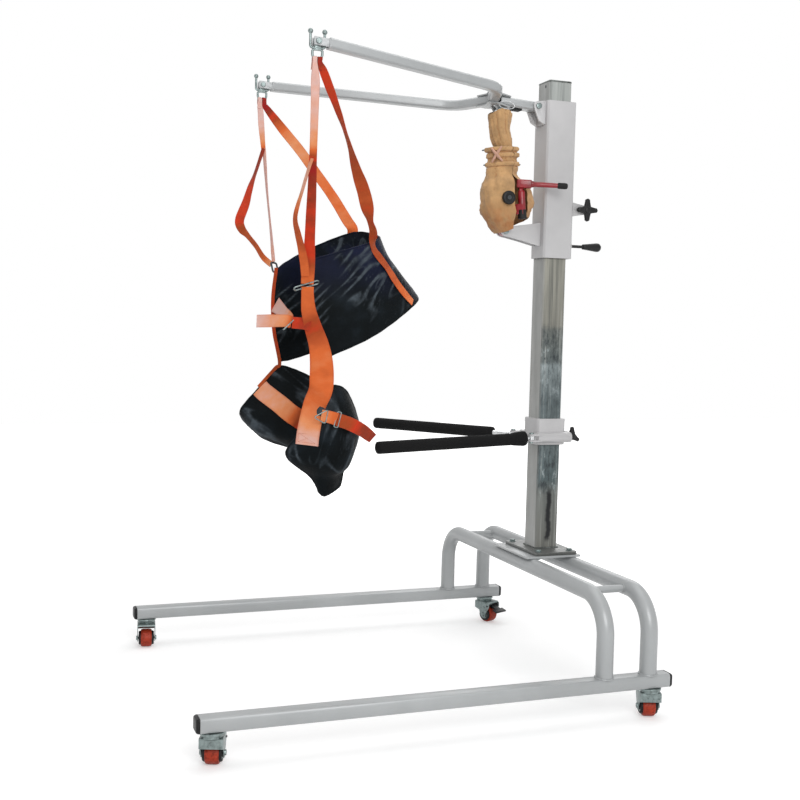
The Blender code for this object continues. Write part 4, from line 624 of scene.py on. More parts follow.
def build_arches():
    """Bent tubes with the ties between them, and the weld beads at their feet and ties."""
    corner_x, corner_z = LEG_X - ARCH_BEND_R, ARCH_TOP_Z - ARCH_BEND_R
    flat = [(LEG_X, ARCH_FOOT_Z)] + arc((corner_x, corner_z), ARCH_BEND_R, 0.0, math.pi / 2, 18)
    flat += arc((-corner_x, corner_z), ARCH_BEND_R, math.pi / 2, math.pi, 18) + [(-LEG_X, ARCH_FOOT_Z)]
    front, rear = ARCH_YS.values()
    for node, y in ARCH_YS.items():
        tubes = [(sweep, [Vector((x, y, z)) for x, z in flat], ARCH_R, 48, False, Y_AXIS)]
        if node == "arch_rear":
            tubes += [(sweep, [Vector((sign * TIE_X, front + ARCH_R * 0.96, ARCH_TOP_Z)),
                               Vector((sign * TIE_X, rear - ARCH_R * 0.9, ARCH_TOP_Z))], TIE_R, 28)
                      for _, sign in SIDES]
        build(node + "_tube", "base", "silver_paint", *tubes, nodes=[node])
        for side, sign in SIDES:
            dips = [0.006 * max(0.0, abs(x) - 0.75) for x, _ in circle(1.0, 64)]
            foot = [Vector((sign * LEG_X + p, y + q, ARCH_FOOT_Z + 0.0005 - dip))
                    for (p, q), dip in zip(circle(ARCH_R + WELD_GAP, 64), dips)]
            weld(f"{node}_weld_{side}", foot, 0.0024)
    for side, sign in SIDES:
        for name, y in (("front", front + ARCH_R - 0.001), ("rear", rear - ARCH_R + 0.001)):
            ring = [Vector((sign * TIE_X + p, y, ARCH_TOP_Z + q)) for p, q in circle(TIE_R + WELD_GAP, 40)]
            weld(f"tie_weld_{name}_{side}", ring, 0.0019, Y_AXIS)


def build_mast_foot():
    """Bolts of the foot flange, the weld round the mast's foot and the top plug's screw."""
    reach = (FLANGE_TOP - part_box("mast_mount_plate")[0].z) * 1000
    for i, (x, y) in enumerate([(a, b) for a in FOOT_BOLT_XS for b in FOOT_BOLT_YS]):
        seat = Matrix.Translation((x, MAST_Y + y, FLANGE_TOP))
        build(f"foot_bolt_{i + 1}", "base", "zinc_plate",
              (turned, mm([(11, 0), (11.5, 0.4), (11.5, 1.4), (10.5, 1.8)]), seat, 32),
              (turned, mm([(8.5, 1.8), (8.75, 2.4), (8.75, 6.2), (7.25, 7.4)]), seat, 6),
              (turned, mm([(5, -reach - 9), (5, 0)]), seat, 24),
              (turned, mm([(7.25, -reach - 7.8), (8.75, -reach - 6.6), (8.75, -reach)]), seat, 6))
    half = MAST_HALF + 0.0008
    corners = [Vector((x * half, MAST_Y + y * half, FLANGE_TOP + 0.0012))
               for x, y in ((1, -1), (1, 1), (-1, 1), (-1, -1))]
    path = [a + (b - a) * t / 24 for a, b in zip(corners, corners[1:] + corners[:1]) for t in range(24)]
    weld("mast_foot_weld", path, 0.0028, slot="galvanised_steel")
    place = Matrix.Translation((0.012, MAST_Y - MAST_HALF + 0.00225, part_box("mast")[1].z - 0.012))
    place = place @ Matrix.Rotation(math.pi / 2, 4, "X")
    screw = mm([(0.1, -1), (5, -1), (5, 2.2), (4.8, 2.4), (0.1, 2.4)])
    build("top_plug_screw", "base", "zinc_plate", (turned, screw, place, 24), look=DARK_STEEL)


def build_plug_domes():
    """Low domes on the faces of the legs' end plugs."""
    for node in ("end_plug_front_right", "end_plug_front_left", "end_plug_rear_right", "end_plug_rear_left"):
        low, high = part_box(node)
        middle = (low + high) / 2
        face, out = (low.y, -1.0) if "front" in node else (high.y, 1.0)
        rings = []
        for step in range(7):
            t = step / 6
            shrink = 0.0045 * (1 - math.sqrt(max(0.0, 1 - t ** 2)))
            inset = 2 * (0.0016 + shrink)
            rings.append(ring_path((middle.x, face + out * (-0.0004 + 0.0044 * t), middle.z), X_AXIS, Z_AXIS,
                                   high.x - low.x - inset, high.z - low.z - inset,
                                   max(0.002, 0.0070 - shrink * 0.6)))
        build(node + "_dome", "base", "black_plastic", (skin, rings), smooth=60)


def build_wheels():
    """Moulded core with hub rings, and a rounded tyre, on each wheel's own axle."""
    tread = [(0.0238, TYRE_HALF), (0.0262, TYRE_HALF)]
    tread += [(0.0262 + 0.0038 * math.sin(a), TYRE_HALF - 0.0105 + 0.0105 * math.cos(a))
              for a in (math.pi / 2 * k / 8 for k in range(1, 9))]
    tread += [(WHEEL_R, 0.004)]
    core = mm([(4.2, 26.2), (10, 26.2), (11.2, 25), (11.8, 23.5), (17, 23.5), (17.8, 25.2), (20.5, 25.4),
               (22.5, 24), (23.6, 20.5), (23.7, 18.2)])
    hub = mm([(12, 23), (12.8, 24.4), (16, 24.4), (16.8, 23)])
    for corner in ("front_right", "front_left", "rear_right", "rear_left"):
        joint = JOINTS[f"wheel_{corner}_spin"]
        turn = Vector(joint["axis"]).normalized().to_track_quat("Z", "Y").to_matrix().to_4x4()
        matrix = Matrix.Translation(joint["pos_m"]) @ turn
        for name, slot, node, shapes in (
                ("tyre_skin_", "orange_tyre", ["tyre_" + corner], [(mirrored(tread), 72)]),
                ("core_skin_", "wheel_core", ["wheel_core_" + corner], [(mirrored(core), 56)]),
                ("hub_ring_", "zinc_plate", [], [([(r, sign * z) for r, z in hub], 40) for sign in (1, -1)])):
            build(name + corner, "wheel_" + corner, slot,
                  *[(turned, profile, matrix, steps, True) for profile, steps in shapes], nodes=node)


# Handrails

def build_rails():
    """Bright rods with their eyes, and foam grips with a soft uneven skin."""
    eye = mm([(4.4, -6.6), (10.5, -6.6), (11, -6), (11, 6), (10.5, 6.6), (4.4, 6.6)])
    rod = [(0.0062, 0.0095), (RAIL_ROD_R, 0.0125), (RAIL_ROD_R, RAIL_LENGTH - 0.012)]
    for (side, sign), bare, swell in zip(SIDES, (0.026, 0.075), (1.30, 1.0)):
        matrix = Matrix.Translation((sign * RAIL_PIVOT[0], *RAIL_PIVOT[1:]))
        matrix = matrix @ Matrix.Rotation(RAIL_ANGLES[side], 4, "Z") @ Matrix.Rotation(RAIL_DROOPS[side], 4, "X")
        along = matrix @ Matrix.Rotation(math.pi / 2, 4, "X")
        build("rail_rod_bright_" + side, "rail_" + side, "chrome", (turned, eye, matrix, 40, True),
              (turned, rod, along, 36), nodes=["rail_rod_" + side])
        stations = [(0.0086, bare), (GRIP_R * swell * 0.74, bare)]
        for i in range(91):
            reach = bare + 0.002 + (RAIL_LENGTH - bare - 0.006) * i / 90
            radius = GRIP_R * (1.0 + (swell - 1.0) * max(0.0, 1.0 - (reach - bare) / 0.050) ** 0.7)
            radius *= 1.0 + 0.018 * noise.noise(Vector((reach * 28.0, sign, 0.3)))
            end = min(1.0, (reach - bare) / 0.006, (RAIL_LENGTH - reach) / 0.010)
            stations.append((radius * (0.78 + 0.22 * math.sqrt(max(0.0, 1 - (1 - end) ** 2))), reach))
        stations += [(GRIP_R * 0.70, RAIL_LENGTH - 0.001), (0.0015, RAIL_LENGTH)]
        build("rail_foam_" + side, "rail_" + side, "black_foam", (turned, stations, along, 40), smooth=60,
              nodes=["rail_grip_" + side])


# Jack

# Rows of the bag in the jack's frame in mm, from the bottom: x, y and height of points that run from the
# pump clockwise round the jack to the loose flap behind the pump.
BAG_LOW = mm([
    ((44, 14, 6), (38, -6, -2), (24, -21, -5), (1, -26, -6), (-22, -20, -5), (-34, -2, 0), (-34, 26, 8),
     (-29, 58, 22), (-4, 83, 36), (18, 83, 40), (36, 66, 46)),
    ((53, 15, 24), (46, -15, 16), (30, -34, 13), (0, -42, 12), (-30, -33, 13), (-42, -2, 15), (-41, 33, 21),
     (-32, 66, 33), (-4, 91, 47), (21, 89, 50), (39, 68, 54)),
    ((57, 18, 48), (53, -20, 45), (35, -50, 44), (0, -63, 44), (-34, -48, 44), (-46, -4, 45), (-45, 38, 48),
     (-34, 72, 55), (-3, 97, 63), (24, 94, 65), (41, 70, 66)),
    ((54, 20, 85), (52, -22, 85), (37, -57, 85), (0, -74, 85), (-36, -55, 85), (-48, -6, 85), (-46, 40, 86),
     (-32, 78, 88), (2, 101, 90), (28, 96, 91), (43, 71, 90)),
    ((54, 20, 125), (52, -22, 125), (37, -57, 125), (0, -72, 125), (-35, -54, 125), (-47, -5, 125),
     (-44, 40, 125), (-30, 76, 125), (2, 98, 124), (26, 92, 123), (41, 71, 120)),
    ((48, 24, 154), (50, -18, 154), (36, -52, 154), (0, -65, 154), (-34, -49, 154), (-45, -3, 154),
     (-41, 38, 152), (-27, 68, 150), (2, 82, 148), (24, 74, 147), (38, 55, 148))])
# Height, half widths in x and y, and middle's y in mm, of the gathered part above and of the neck
BAG_HIGH = mm([
    (176, 41, 53, 1), (192, 40.2, 53, 3), (200, 39.5, 52, 4), (203, 38.5, 50, 4), (205, 43, 54.8, 5),
    (208.5, 44.8, 56.8, 5), (213.5, 44.8, 56.8, 5), (216.8, 43, 54.5, 5), (219, 38, 49, 5),
    (227, 36.5, 47, 6), (231, 38, 48.5, 7), (233, 41.5, 52.5, 8), (236.5, 43, 54, 9), (242, 43, 54, 9),
    (245, 41.5, 52.5, 8), (247, 37.5, 48, 7), (250, 37.5, 48, 6), (252, 42.5, 54, 5), (255.5, 44.5, 56.5, 5),
    (260.5, 44.5, 56.5, 5), (264, 42, 53, 5), (266.2, 31, 36, 6)])
NECK = mm([
    (265.5, 26, 30, 11), (285, 27.5, 33.5, 7), (305, 28, 34, 3), (325, 27, 33.5, 1), (345, 29, 36, 2),
    (360, 31.5, 38.5, 3), (370, 33.5, 39, 3.5), (376, 34, 39, 4)])
CLOTH_T = 0.0016
BAG_MIDDLE_Y = 0.004


def cloth_tube(controls, steps_round, gather, seed, saddle=0.0):
    """Rows of a gathered cloth tube in the jack's frame, from rows of points; gather is the fold depth."""
    columns = smooth_grid(controls, 6, steps_round)
    turn = math.tau * 15 / (len(columns) - 1)
    rows = []
    for i in range(len(columns[0])):
        row = []
        for k, (x, y, height) in enumerate(column[i] for column in columns):
            angle = math.atan2(y - BAG_MIDDLE_Y, x)
            amount = gather(height, angle)
            fold = 0.7 * amount * math.sin(7 * angle + 26.0 * height + seed)
            fold += 1.9 * amount * math.sin(2.6 * angle - 96.0 * height + seed) * max(0.0, 1.0 - height / 0.2)
            fold += 0.40 * amount * math.sin(turn * k - 41.0 * height + 2 * seed)
            place = Vector((math.cos(angle) * 2.4, math.sin(angle) * 2.4, height * 34.0 + seed))
            fold += (0.050 * noise.noise(place) + 0.034 * noise.noise(place * 3.1)
                     + 0.020 * noise.noise(place * 6.3)) * min(1.0, amount / 0.02)
            lift = saddle * math.cos(2 * angle) * max(0.0, (height - 0.34) / 0.036)
            row.append(Vector((x * (1 + fold), BAG_MIDDLE_Y + (y - BAG_MIDDLE_Y) * (1 + fold), height + lift)))
        rows.append(row)
    return rows


def ellipse_row(height, rx, ry, shift, count=11, start=22.0, sweep_angle=-356.0):
    """Points round an ellipse, clockwise from beside the pump."""
    angles = [math.radians(start + sweep_angle * k / (count - 1)) for k in range(count)]
    return [(rx * math.cos(a), shift + ry * math.sin(a), height) for a in angles]


def cloth_shell(name, rows, wrap):
    """Thin closed cloth from rows of points; wrap joins each row's ends."""
    bm = bmesh.new()
    columns = len(rows[0]) - wrap
    sides = []
    for shift in (0.0, -CLOTH_T):
        level = []
        for row in rows:
            middle = sum(row, Vector()) / len(row)
            outwards = [((p - middle) * Vector((1, 1, 0))).normalized() for p in row[:columns]]
            level.append([bm.verts.new(JACK @ (p + out * shift)) for p, out in zip(row, outwards)])
        sides.append(level)
    outer, inner = sides
    span = [(k, (k + 1) % columns) for k in range(columns if wrap else columns - 1)]
    for i in range(len(rows) - 1):
        for k, j in span:
            bm.faces.new((outer[i][k], outer[i][j], outer[i + 1][j], outer[i + 1][k]))
            bm.faces.new((inner[i][k], inner[i + 1][k], inner[i + 1][j], inner[i][j]))
    for i in (0, -1):
        for k, j in span:
            bm.faces.new((outer[i][k], inner[i][k], inner[i][j], outer[i][j]))
    for k in () if wrap else (0, -1):
        for i in range(len(rows) - 1):
            bm.faces.new((outer[i][k], outer[i + 1][k], inner[i + 1][k], inner[i][k]))
    piece = finished(name, bm, LOOKS["beige_cloth"], 70)

    # How deep in a fold each point lies, for the painted shade in the cloth's folds
    vertices = piece.data.vertices
    hollows, counts = [0.0] * len(vertices), [0] * len(vertices)
    for edge in piece.data.edges:
        a, b = (vertices[i] for i in edge.vertices)
        apart = b.co - a.co
        bend = (b.normal - a.normal).dot(apart) / max(apart.length_squared, 1e-9)
        for i in edge.vertices:
            hollows[i] -= bend
            counts[i] += 1
    add_values(piece, "hollow", [min(1.0, max(0.0, h / max(c, 1) / 90.0)) for h, c in zip(hollows, counts)])
    return piece


def bag_gather(height, angle):
    """Depth of the folds: none where the release knob and the pump pass, more at the ties."""
    near_knob = max(0.0, 1.0 - abs(angle) / 0.6) * max(0.0, 1.0 - abs(height - 0.10) / 0.04)
    near_pump = (min(1.0, 2.0 * max(0.0, 1.0 - abs(angle - 0.7) / 1.1))
                 * min(1.0, 2.0 * max(0.0, 1.0 - abs(height - 0.15) / 0.06)))
    low = 0.030 * (1.0 - near_knob)
    high = 0.018 + 0.022 * min(1.0, (height - 0.165) / 0.05)
    return (low if height < 0.165 else high) * (1.0 - near_pump)


def build_jack_cover():
    """Cloth bag and neck, and the cords tied round them."""
    bag = cloth_tube(BAG_LOW + [ellipse_row(*station) for station in BAG_HIGH], 12, bag_gather, 0.4)
    piece = cloth_shell("jack_cover_bag", bag, False)
    settle(piece, "jack", "beige_cloth", "jack_cover")

    rows = [ellipse_row(*station, count=12, start=0.0, sweep_angle=-330.0) for station in NECK]
    neck = cloth_tube([row + [row[0]] for row in rows], 9, lambda height, angle: 0.062, 1.7, saddle=0.008)
    piece = cloth_shell("jack_cover_gathers", neck, True)
    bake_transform(piece)
    settle(piece, None, "beige_cloth", "jack_cover_neck")

    turns = [math.tau * k / 72 for k in range(72)]
    ties = mm([(202.2, 36.8, 46.2, 4), (221.6, 33.6, 40.2, 3), (248.8, 32.6, 38.5, 6)])
    for i, (height, rx, ry, shift) in enumerate(ties):
        path = [JACK @ Vector((rx * math.cos(a), shift + ry * math.sin(a), height + 0.0012 * math.sin(3 * a + i)))
                for a in turns]
        build(f"cover_tie_{i + 1}", "jack", "beige_cloth",
              (sweep, path, 0.0020, 8, True, Z_AXIS, lambda i, k: 1.0 + 0.12 * math.sin(i * 2.6 + k)))

    bands = []
    for rise, shift in ((0.0484, 0.0), (-0.0440, 0.002)):
        steps = [(t / 16 - 0.5, math.radians(-38.0) + (t / 16 - 0.5) * 0.66) for t in range(17)]
        path = [JACK @ Vector(((0.0450 + shift) * math.cos(a), BAG_MIDDLE_Y + (0.0550 + shift) * math.sin(a),
                               0.2400 + s * rise)) for s, a in steps]
        bands.append((sweep, path, [0.0036 * (0.75 + 0.6 * math.sin(math.pi * t / 16)) for t in range(17)], 12))
    build("cover_tie_knot", "jack", "beige_cloth", *bands, look=cotton("pale_tie", (0.66, 0.38, 0.27)))
    tips = []
    for angle, height, reach in ((-100.0, 0.2585, 0.010), (-96.0, 0.2115, 0.008), (84.0, 0.2115, 0.007)):
        x, y = math.cos(math.radians(angle)), math.sin(math.radians(angle))
        base, out = Vector((0.040 * x, 0.005 + 0.056 * y, height)), Vector((x, y, -0.15)).normalized()
        path = [JACK @ (base + out * reach * t / 5) for t in range(6)]
        tips.append((sweep, path, mm([2.2, 2.4, 2.3, 2.2, 2, 1.2]), 8))
    build("cover_tie_tips", "jack", "beige_cloth", *tips, look=DARK_STEEL)


def build_jack_details():
    """Release knob, pump lever with its black tip, pump cap, spring clip, and a black block under the boom."""
    valve = Matrix.Translation(JOINTS["release_knob_turn"]["pos_m"]) @ Matrix.Rotation(math.pi / 2, 4, "Y")
    side = LEVER_WAY.cross(Z_AXIS).normalized()
    turn = Matrix((LEVER_WAY, side, LEVER_WAY.cross(side))).transposed().to_4x4()
    lever = JACK @ Matrix.Translation((*PUMP_XY, PUMP_Z)) @ turn
    down = lever @ Matrix.Rotation(math.pi / 2, 4, "Y")
    build("release_knob_round", "release", "black_plastic",
          (turned, mm([(4.8, 28.4), (4.8, 56), (17.6, 56), (19.6, 56.6), (21.2, 58.6), (21.5, 61), (21.5, 66),
                       (20.9, 68.2), (19.2, 69.8), (12, 70.6), (10, 69.6), (9.6, 69), (0.1, 69)]), valve, 56),
          nodes=["release_knob"])
    build("release_knob_cap", "release", "zinc_plate",
          (turned, mm([(0.1, 68.8), (6.6, 68.8), (7, 69.2), (6.6, 70), (0.1, 70.4)]), valve, 40), look=DARK_STEEL)
    build("pump_head", "lever", "red_enamel", (block, mm((-14, -15, -12.5)), mm((34, 15, 14)), lever),
          nodes=["pump_lever"], edge=(0.0045, 4))
    build("pump_lever_tube", "lever", "red_enamel",
          (turned, mm([(10, 30), (10, 38), (8.2, 41), (8, 80), (7.2, 122)]), down, 36))
    build("pump_lever_tip", "lever", "black_plastic",
          (turned, mm([(7.4, 115), (9, 116), (9.6, 120), (9.8, 138), (9, 144), (6, 147.2), (0.1, 148)]), down, 36),
          look=RUBBER)
    build("pump_end_cap", "jack", "black_plastic",
          (turned, mm([(12.2, 64), (13.6, 63), (13.8, 38), (12.6, 35.2), (8, 34.5), (0.1, 34.5)]),
           JACK @ Matrix.Translation((*PUMP_XY, 0.0)), 36))

    boom = Matrix.Translation(BOOM_PIVOT) @ Matrix.Rotation(-BOOM_RISE, 4, "X")
    # A black block under the boom's root tube
    build("boom_under_block", "boom", "black_plastic", (block, mm((-15, -86, -20.5)), mm((15, -50, -14.2)), boom),
          look=RUBBER, edge=(0.0012,))
    clip = [boom @ Vector((0.0335, -0.125 + 0.0165 * y, -0.016 + 0.012 * z)) + Vector((0, 0.012 + 0.010 * y, 0))
            for y, z in circle(1.0, 40)]
    wire("jack_pin_clip", clip, 0.0013, body="boom", up=X_AXIS, slot="chrome")


# Hooks

def build_hooks():
    """Hook with its shank, two ball-ended prongs, the bail for the straps and its bolt."""
    outline = [(-0.0080, -0.0240), (0.0080, -0.0240)] + arc((0, 0), 0.0090, 0.0, math.pi, 20)
    prongs = [(-0.020, 0.027)] + arc((-0.0140, -0.0105), 0.006, math.pi, math.pi * 1.5, 8)
    prongs += [(-y, z) for y, z in reversed(prongs)]
    bail = mm([(-3.5, -19.5), (-10, -21.2), (-14, -25)])
    bail += arc((0, -BAIL_DROP), BAIL_R, math.pi, 2 * math.pi, 28) + [(-y, z) for y, z in reversed(bail)]
    ball = [(max(z, 0.00005), -y) for y, z in arc((0, 0), HOOK_BALL_R, 0.0, math.pi, 14)]
    for side, sign in SIDES:
        node = "sling_hook_" + side
        centre = Vector((sign * BAIL_X, BAIL_Y, HOOK_BOLT_Z))

        def placed(path, x=0.0):
            return [centre + Vector((x, y, z)) for y, z in path]
        build(node + "_shank", "hooks", "zinc_plate", (prism, placed(outline, -0.0034), (0.0068, 0, 0)),
              edge=(0.0009,))
        balls = [(turned, ball, Matrix.Translation(centre + Vector((0, y, 0.0270))), 24) for y in (-0.020, 0.020)]
        build(node + "_rods", "hooks", "zinc_plate", (sweep, placed(prongs), BAIL_ROD, 20, False, X_AXIS),
              (sweep, placed(bail), BAIL_ROD, 20, False, X_AXIS), *balls, smooth=60, nodes=[node])
        spin = Matrix.Translation(centre) @ Matrix.Rotation(math.pi / 2 * sign, 4, "Y")
        build(node + "_bolt", "hooks", "zinc_plate",
              (turned, mm([(8.4, 12.4), (8.8, 13), (8.8, 17.2), (7.4, 18.2)]), spin, 6),
              (turned, mm([(7.6, -12.4), (8.2, -13), (8.2, -16.5), (7, -17.4)]), spin, 6),
              (turned, mm([(4.4, -19), (4.4, 13)]), spin, 24))


# Sling: rows of points on the pads, in mm

VEST = mm([
    ((-155, -341, 1287), (-172, -230, 1352), (-120, -110, 1404), (0, -78, 1392), (120, -106, 1368),
     (170, -215, 1332), (160, -323, 1298)),
    ((-160, -350, 1140), (-180, -215, 1185), (-130, -70, 1262), (0, -22, 1292), (125, -62, 1268),
     (175, -175, 1200), (165, -325, 1150)),
    ((-140, -329, 993), (-165, -200, 1034), (-115, -8, 1144), (0, 60, 1203), (105, 16, 1177),
     (160, -130, 1083), (150, -293, 1008))])
THIGH_RIGHT = mm([
    ((128, -318, 872), (140, -262, 930), (105, -198, 925), (60, -150, 868)),
    ((130, -345, 790), (165, -262, 812), (135, -176, 810), (60, -132, 790)),
    ((100, -372, 727), (140, -275, 710), (120, -195, 700), (50, -158, 700)),
    ((82, -294, 664), (98, -268, 657), (94, -223, 664), (55, -178, 673)),
    ((77, -269, 630), (82, -256, 621), (76, -217, 631), (50, -182, 642)),
    ((74, -261, 611), (76, -244, 599), (70, -214, 611), (48, -186, 623))])
THIGH_LEFT = mm([
    ((-143, -332, 984), (-105, -277, 964), (-55, -220, 930), (-30, -190, 890)),
    ((-150, -400, 905), (-80, -345, 880), (-20, -280, 850), (-10, -220, 820)),
    ((-160, -452, 838), (-95, -405, 795), (-30, -320, 768), (-15, -250, 750)),
    ((-185, -425, 800), (-130, -385, 755), (-70, -300, 728), (-50, -240, 720))])
PAD_T = 0.010
PAD_RIM_T = 0.005
ROUND_RIM = 0.012


def grid_normal(grid, i, j):
    du = grid[min(i + 1, len(grid) - 1)][j] - grid[max(i - 1, 0)][j]
    dv = grid[i][min(j + 1, len(grid[0]) - 1)] - grid[i][max(j - 1, 0)]
    return du.cross(dv).normalized()


def bulge(u, v):
    return max(math.sin(math.pi * u) * math.sin(math.pi * v), 0.0) ** 0.4


def pad_grid(controls, steps, depth, across, along):
    """Smooth grid of points with broad slanting folds, as in the solids."""
    grid = [[Vector(p) for p in row] for row in zip(*smooth_grid(controls, steps, steps))]
    rows, columns = len(grid) - 1, len(grid[0]) - 1

    def fold(u, v):
        return depth * math.sin(math.tau * (across * u + along * v)) * bulge(u, v)
    return [[p + grid_normal(grid, i, j) * fold(i / rows, j / columns) for j, p in enumerate(row)]
            for i, row in enumerate(grid)]


def at(grid, u, v):
    """Grid point at a share of the way across and along."""
    return grid[round(u * (len(grid) - 1))][round(v * (len(grid[0]) - 1))]


def rim_places(rows, columns):
    return ([(i, 0) for i in range(rows)] + [(rows - 1, j) for j in range(1, columns)]
            + [(i, columns - 1) for i in range(rows - 2, -1, -1)] + [(0, j) for j in range(columns - 2, 0, -1)])


def pad_mesh(name, grid, crease, depth):
    """Closed pad about a grid, with a rounded rim and pressed-in creases."""
    rows, columns = len(grid), len(grid[0])
    long_way = sum((b - a).length for a, b in zip(grid[0], grid[0][1:])) / (columns - 1)
    short_way = sum((b[0] - a[0]).length for a, b in zip(grid, grid[1:])) / (rows - 1)
    bm = bmesh.new()
    sides, values = [], []
    for sign in (1.0, -1.0):
        level = []
        for i, row in enumerate(grid):
            line = []
            for j, point in enumerate(row):
                rim = min(i * short_way, (rows - 1 - i) * short_way, j * long_way, (columns - 1 - j) * long_way)
                t = min(1.0, rim / ROUND_RIM)
                half = (PAD_RIM_T + (PAD_T - PAD_RIM_T) * bulge(i / (rows - 1), j / (columns - 1))) / 2
                height, ridge = crease(point + Vector((0, 0, 0.4 * (sign - 1.0))))
                half = half * (0.30 + 0.70 * math.sqrt(1 - (1 - t) ** 2)) + depth * height * t
                # Ridge strength, which the cloth's look turns into a painted highlight
                values.append(ridge * t)
                line.append(bm.verts.new(point + grid_normal(grid, i, j) * sign * half))
            level.append(line)
        sides.append(level)
    front, back = sides
    for i in range(rows - 1):
        for j in range(columns - 1):
            bm.faces.new((front[i][j], front[i + 1][j], front[i + 1][j + 1], front[i][j + 1]))
            bm.faces.new((back[i][j], back[i][j + 1], back[i + 1][j + 1], back[i + 1][j]))
    edge = rim_places(rows, columns)
    for (a, b), (c, d) in zip(edge, edge[1:] + edge[:1]):
        bm.faces.new((front[a][b], front[c][d], back[c][d], back[a][b]))
    piece = finished(name, bm, LOOKS["pad_cloth"], 75)
    add_values(piece, "crease", values)
    return piece


def crease_field(direction, seed):
    """Height and ridge strength at a point: thin ridges along a direction, broken up by noise."""
    along, pitch = Vector(direction).normalized(), 0.034

    def crease(point):
        flat = point - along * point.dot(along) * 0.86
        warp = noise.noise(point * 6.0 + Vector((seed, 0, 0)))
        ridge = 1.0 - abs(noise.noise(flat * (1.0 / pitch) + Vector((seed, warp * 0.9, 2.0)))) * 3.4
        mask = min(1.0, max(0.0, 0.22 + 2.2 * noise.noise(point * 7.5 + Vector((3.0, seed, 1.0)))))
        fine = max(0.0, 1.0 - abs(noise.noise(flat * (2.4 / pitch) + Vector((seed, 5.0, warp)))) * 4.0)
        sharp = max(0.0, ridge) ** 2 * mask
        broad = noise.noise(point * 15.0 + Vector((seed, seed, 0)))
        return sharp * 1.1 + 0.35 * fine ** 2 * mask + 0.45 * broad - 0.2, sharp + 0.3 * fine ** 3 * mask
    return crease


def binding_bead(i, k):
    return 1.0 + 0.10 * math.sin(i * 1.7) + 0.10 * noise.noise(Vector((i * 0.3, k * 0.5, 1.0)))


def build_pads():
    """Pads with their bindings; returns each one's grid and the skin that straps are laid on."""
    grids, skins = {}, {}
    for name, controls, steps, folds, crease, depth in (
            ("back_pad", VEST, 36, (0.0045, 1.0, 3.5), crease_field((0.05, 0.66, 0.75), 1.3), 0.0032),
            ("thigh_pad_right", THIGH_RIGHT, 26, (0.0030, 1.0, 1.0), crease_field((0.1, 0.25, 0.95), 4.1), 0.0020),
            ("thigh_pad_left", THIGH_LEFT, 26, (0.0030, 1.5, 1.0), crease_field((0.5, 0.5, -0.5), 7.7), 0.0020)):
        grid = grids[name] = pad_grid(controls, steps, *folds)
        piece = settle(pad_mesh(name + "_cloth", grid, crease, depth), "sling", "pad_cloth", name)
        skins[name] = BVHTree.FromObject(piece, bpy.context.evaluated_depsgraph_get())
        path = rounded([grid[i][j] for i, j in rim_places(len(grid), len(grid[0]))[::3]], 3)
        build(name + "_binding", "sling", "pad_cloth",
              (sweep, path, 0.0030, 10, True, Z_AXIS, binding_bead), smooth=80)
    return grids, skins


# Straps, made from stations: place, width and painted light and shade, the way that the strap faces, and its twist

def station(place, width, painted_shading, facing, twist=0.0):
    return [*place, width, painted_shading, *Vector(facing).normalized(), twist]


def web(facing, *rows):
    """Stations from rows of x, y, z and width in mm, painted shading in hundredths (0 shaded deep red, 100 lit
    pale pink), and any twist in degrees.
    """
    return [station(mm(row[:3]), mm(row[3]), row[4] / 100, facing, *row[5:]) for row in rows]


def bail_loop(sign, y, painted_shading):
    """Stations of a strap's doubled end and its turn over the hook's bail."""
    rod_z = BAIL_Z - math.sqrt(BAIL_R ** 2 - (y - BAIL_Y) ** 2)
    reach = BAIL_ROD + WEB_T / 2 + 0.0004
    x = sign * BAIL_X
    inward = Vector((-sign, 0, 0))
    turn = [(sign * math.cos(a), math.sin(a)) for a in (math.pi * (1 - k / 4) for k in range(5))]
    return [station((x - sign * 0.0045, y, rod_z - 0.030), 0.017, painted_shading, inward),
            station((x - sign * reach, y, rod_z - 0.010), 0.0135, painted_shading, inward),
            *[station((x + reach * p, y, rod_z + reach * q), 0.0130, painted_shading, (p, 0, q)) for p, q in turn],
            station((x + sign * reach, y, rod_z - 0.012), 0.0135, painted_shading, -inward)]


def above(tree, point, look, lift):
    """Point over a pad's skin on the side that looks along a direction, and the normal there."""
    look = Vector(look).normalized()
    hit, normal, _, _ = tree.ray_cast(Vector(point) + look * 0.05, -look, 0.12)
    if hit is None:
        hit, normal, _, _ = tree.find_nearest(Vector(point))
    if normal.dot(look) < 0:
        normal = -normal
    return hit + normal * lift, normal


def laid(tree, grid, places, look, lift, width, flip=1.0):
    """Stations over a pad's skin, from u, v and painted shading."""
    found = []
    for u, v, painted_shading in places:
        point, normal = above(tree, at(grid, u, v), look, lift)
        found.append(station(point, width, painted_shading, normal * flip))
    return found


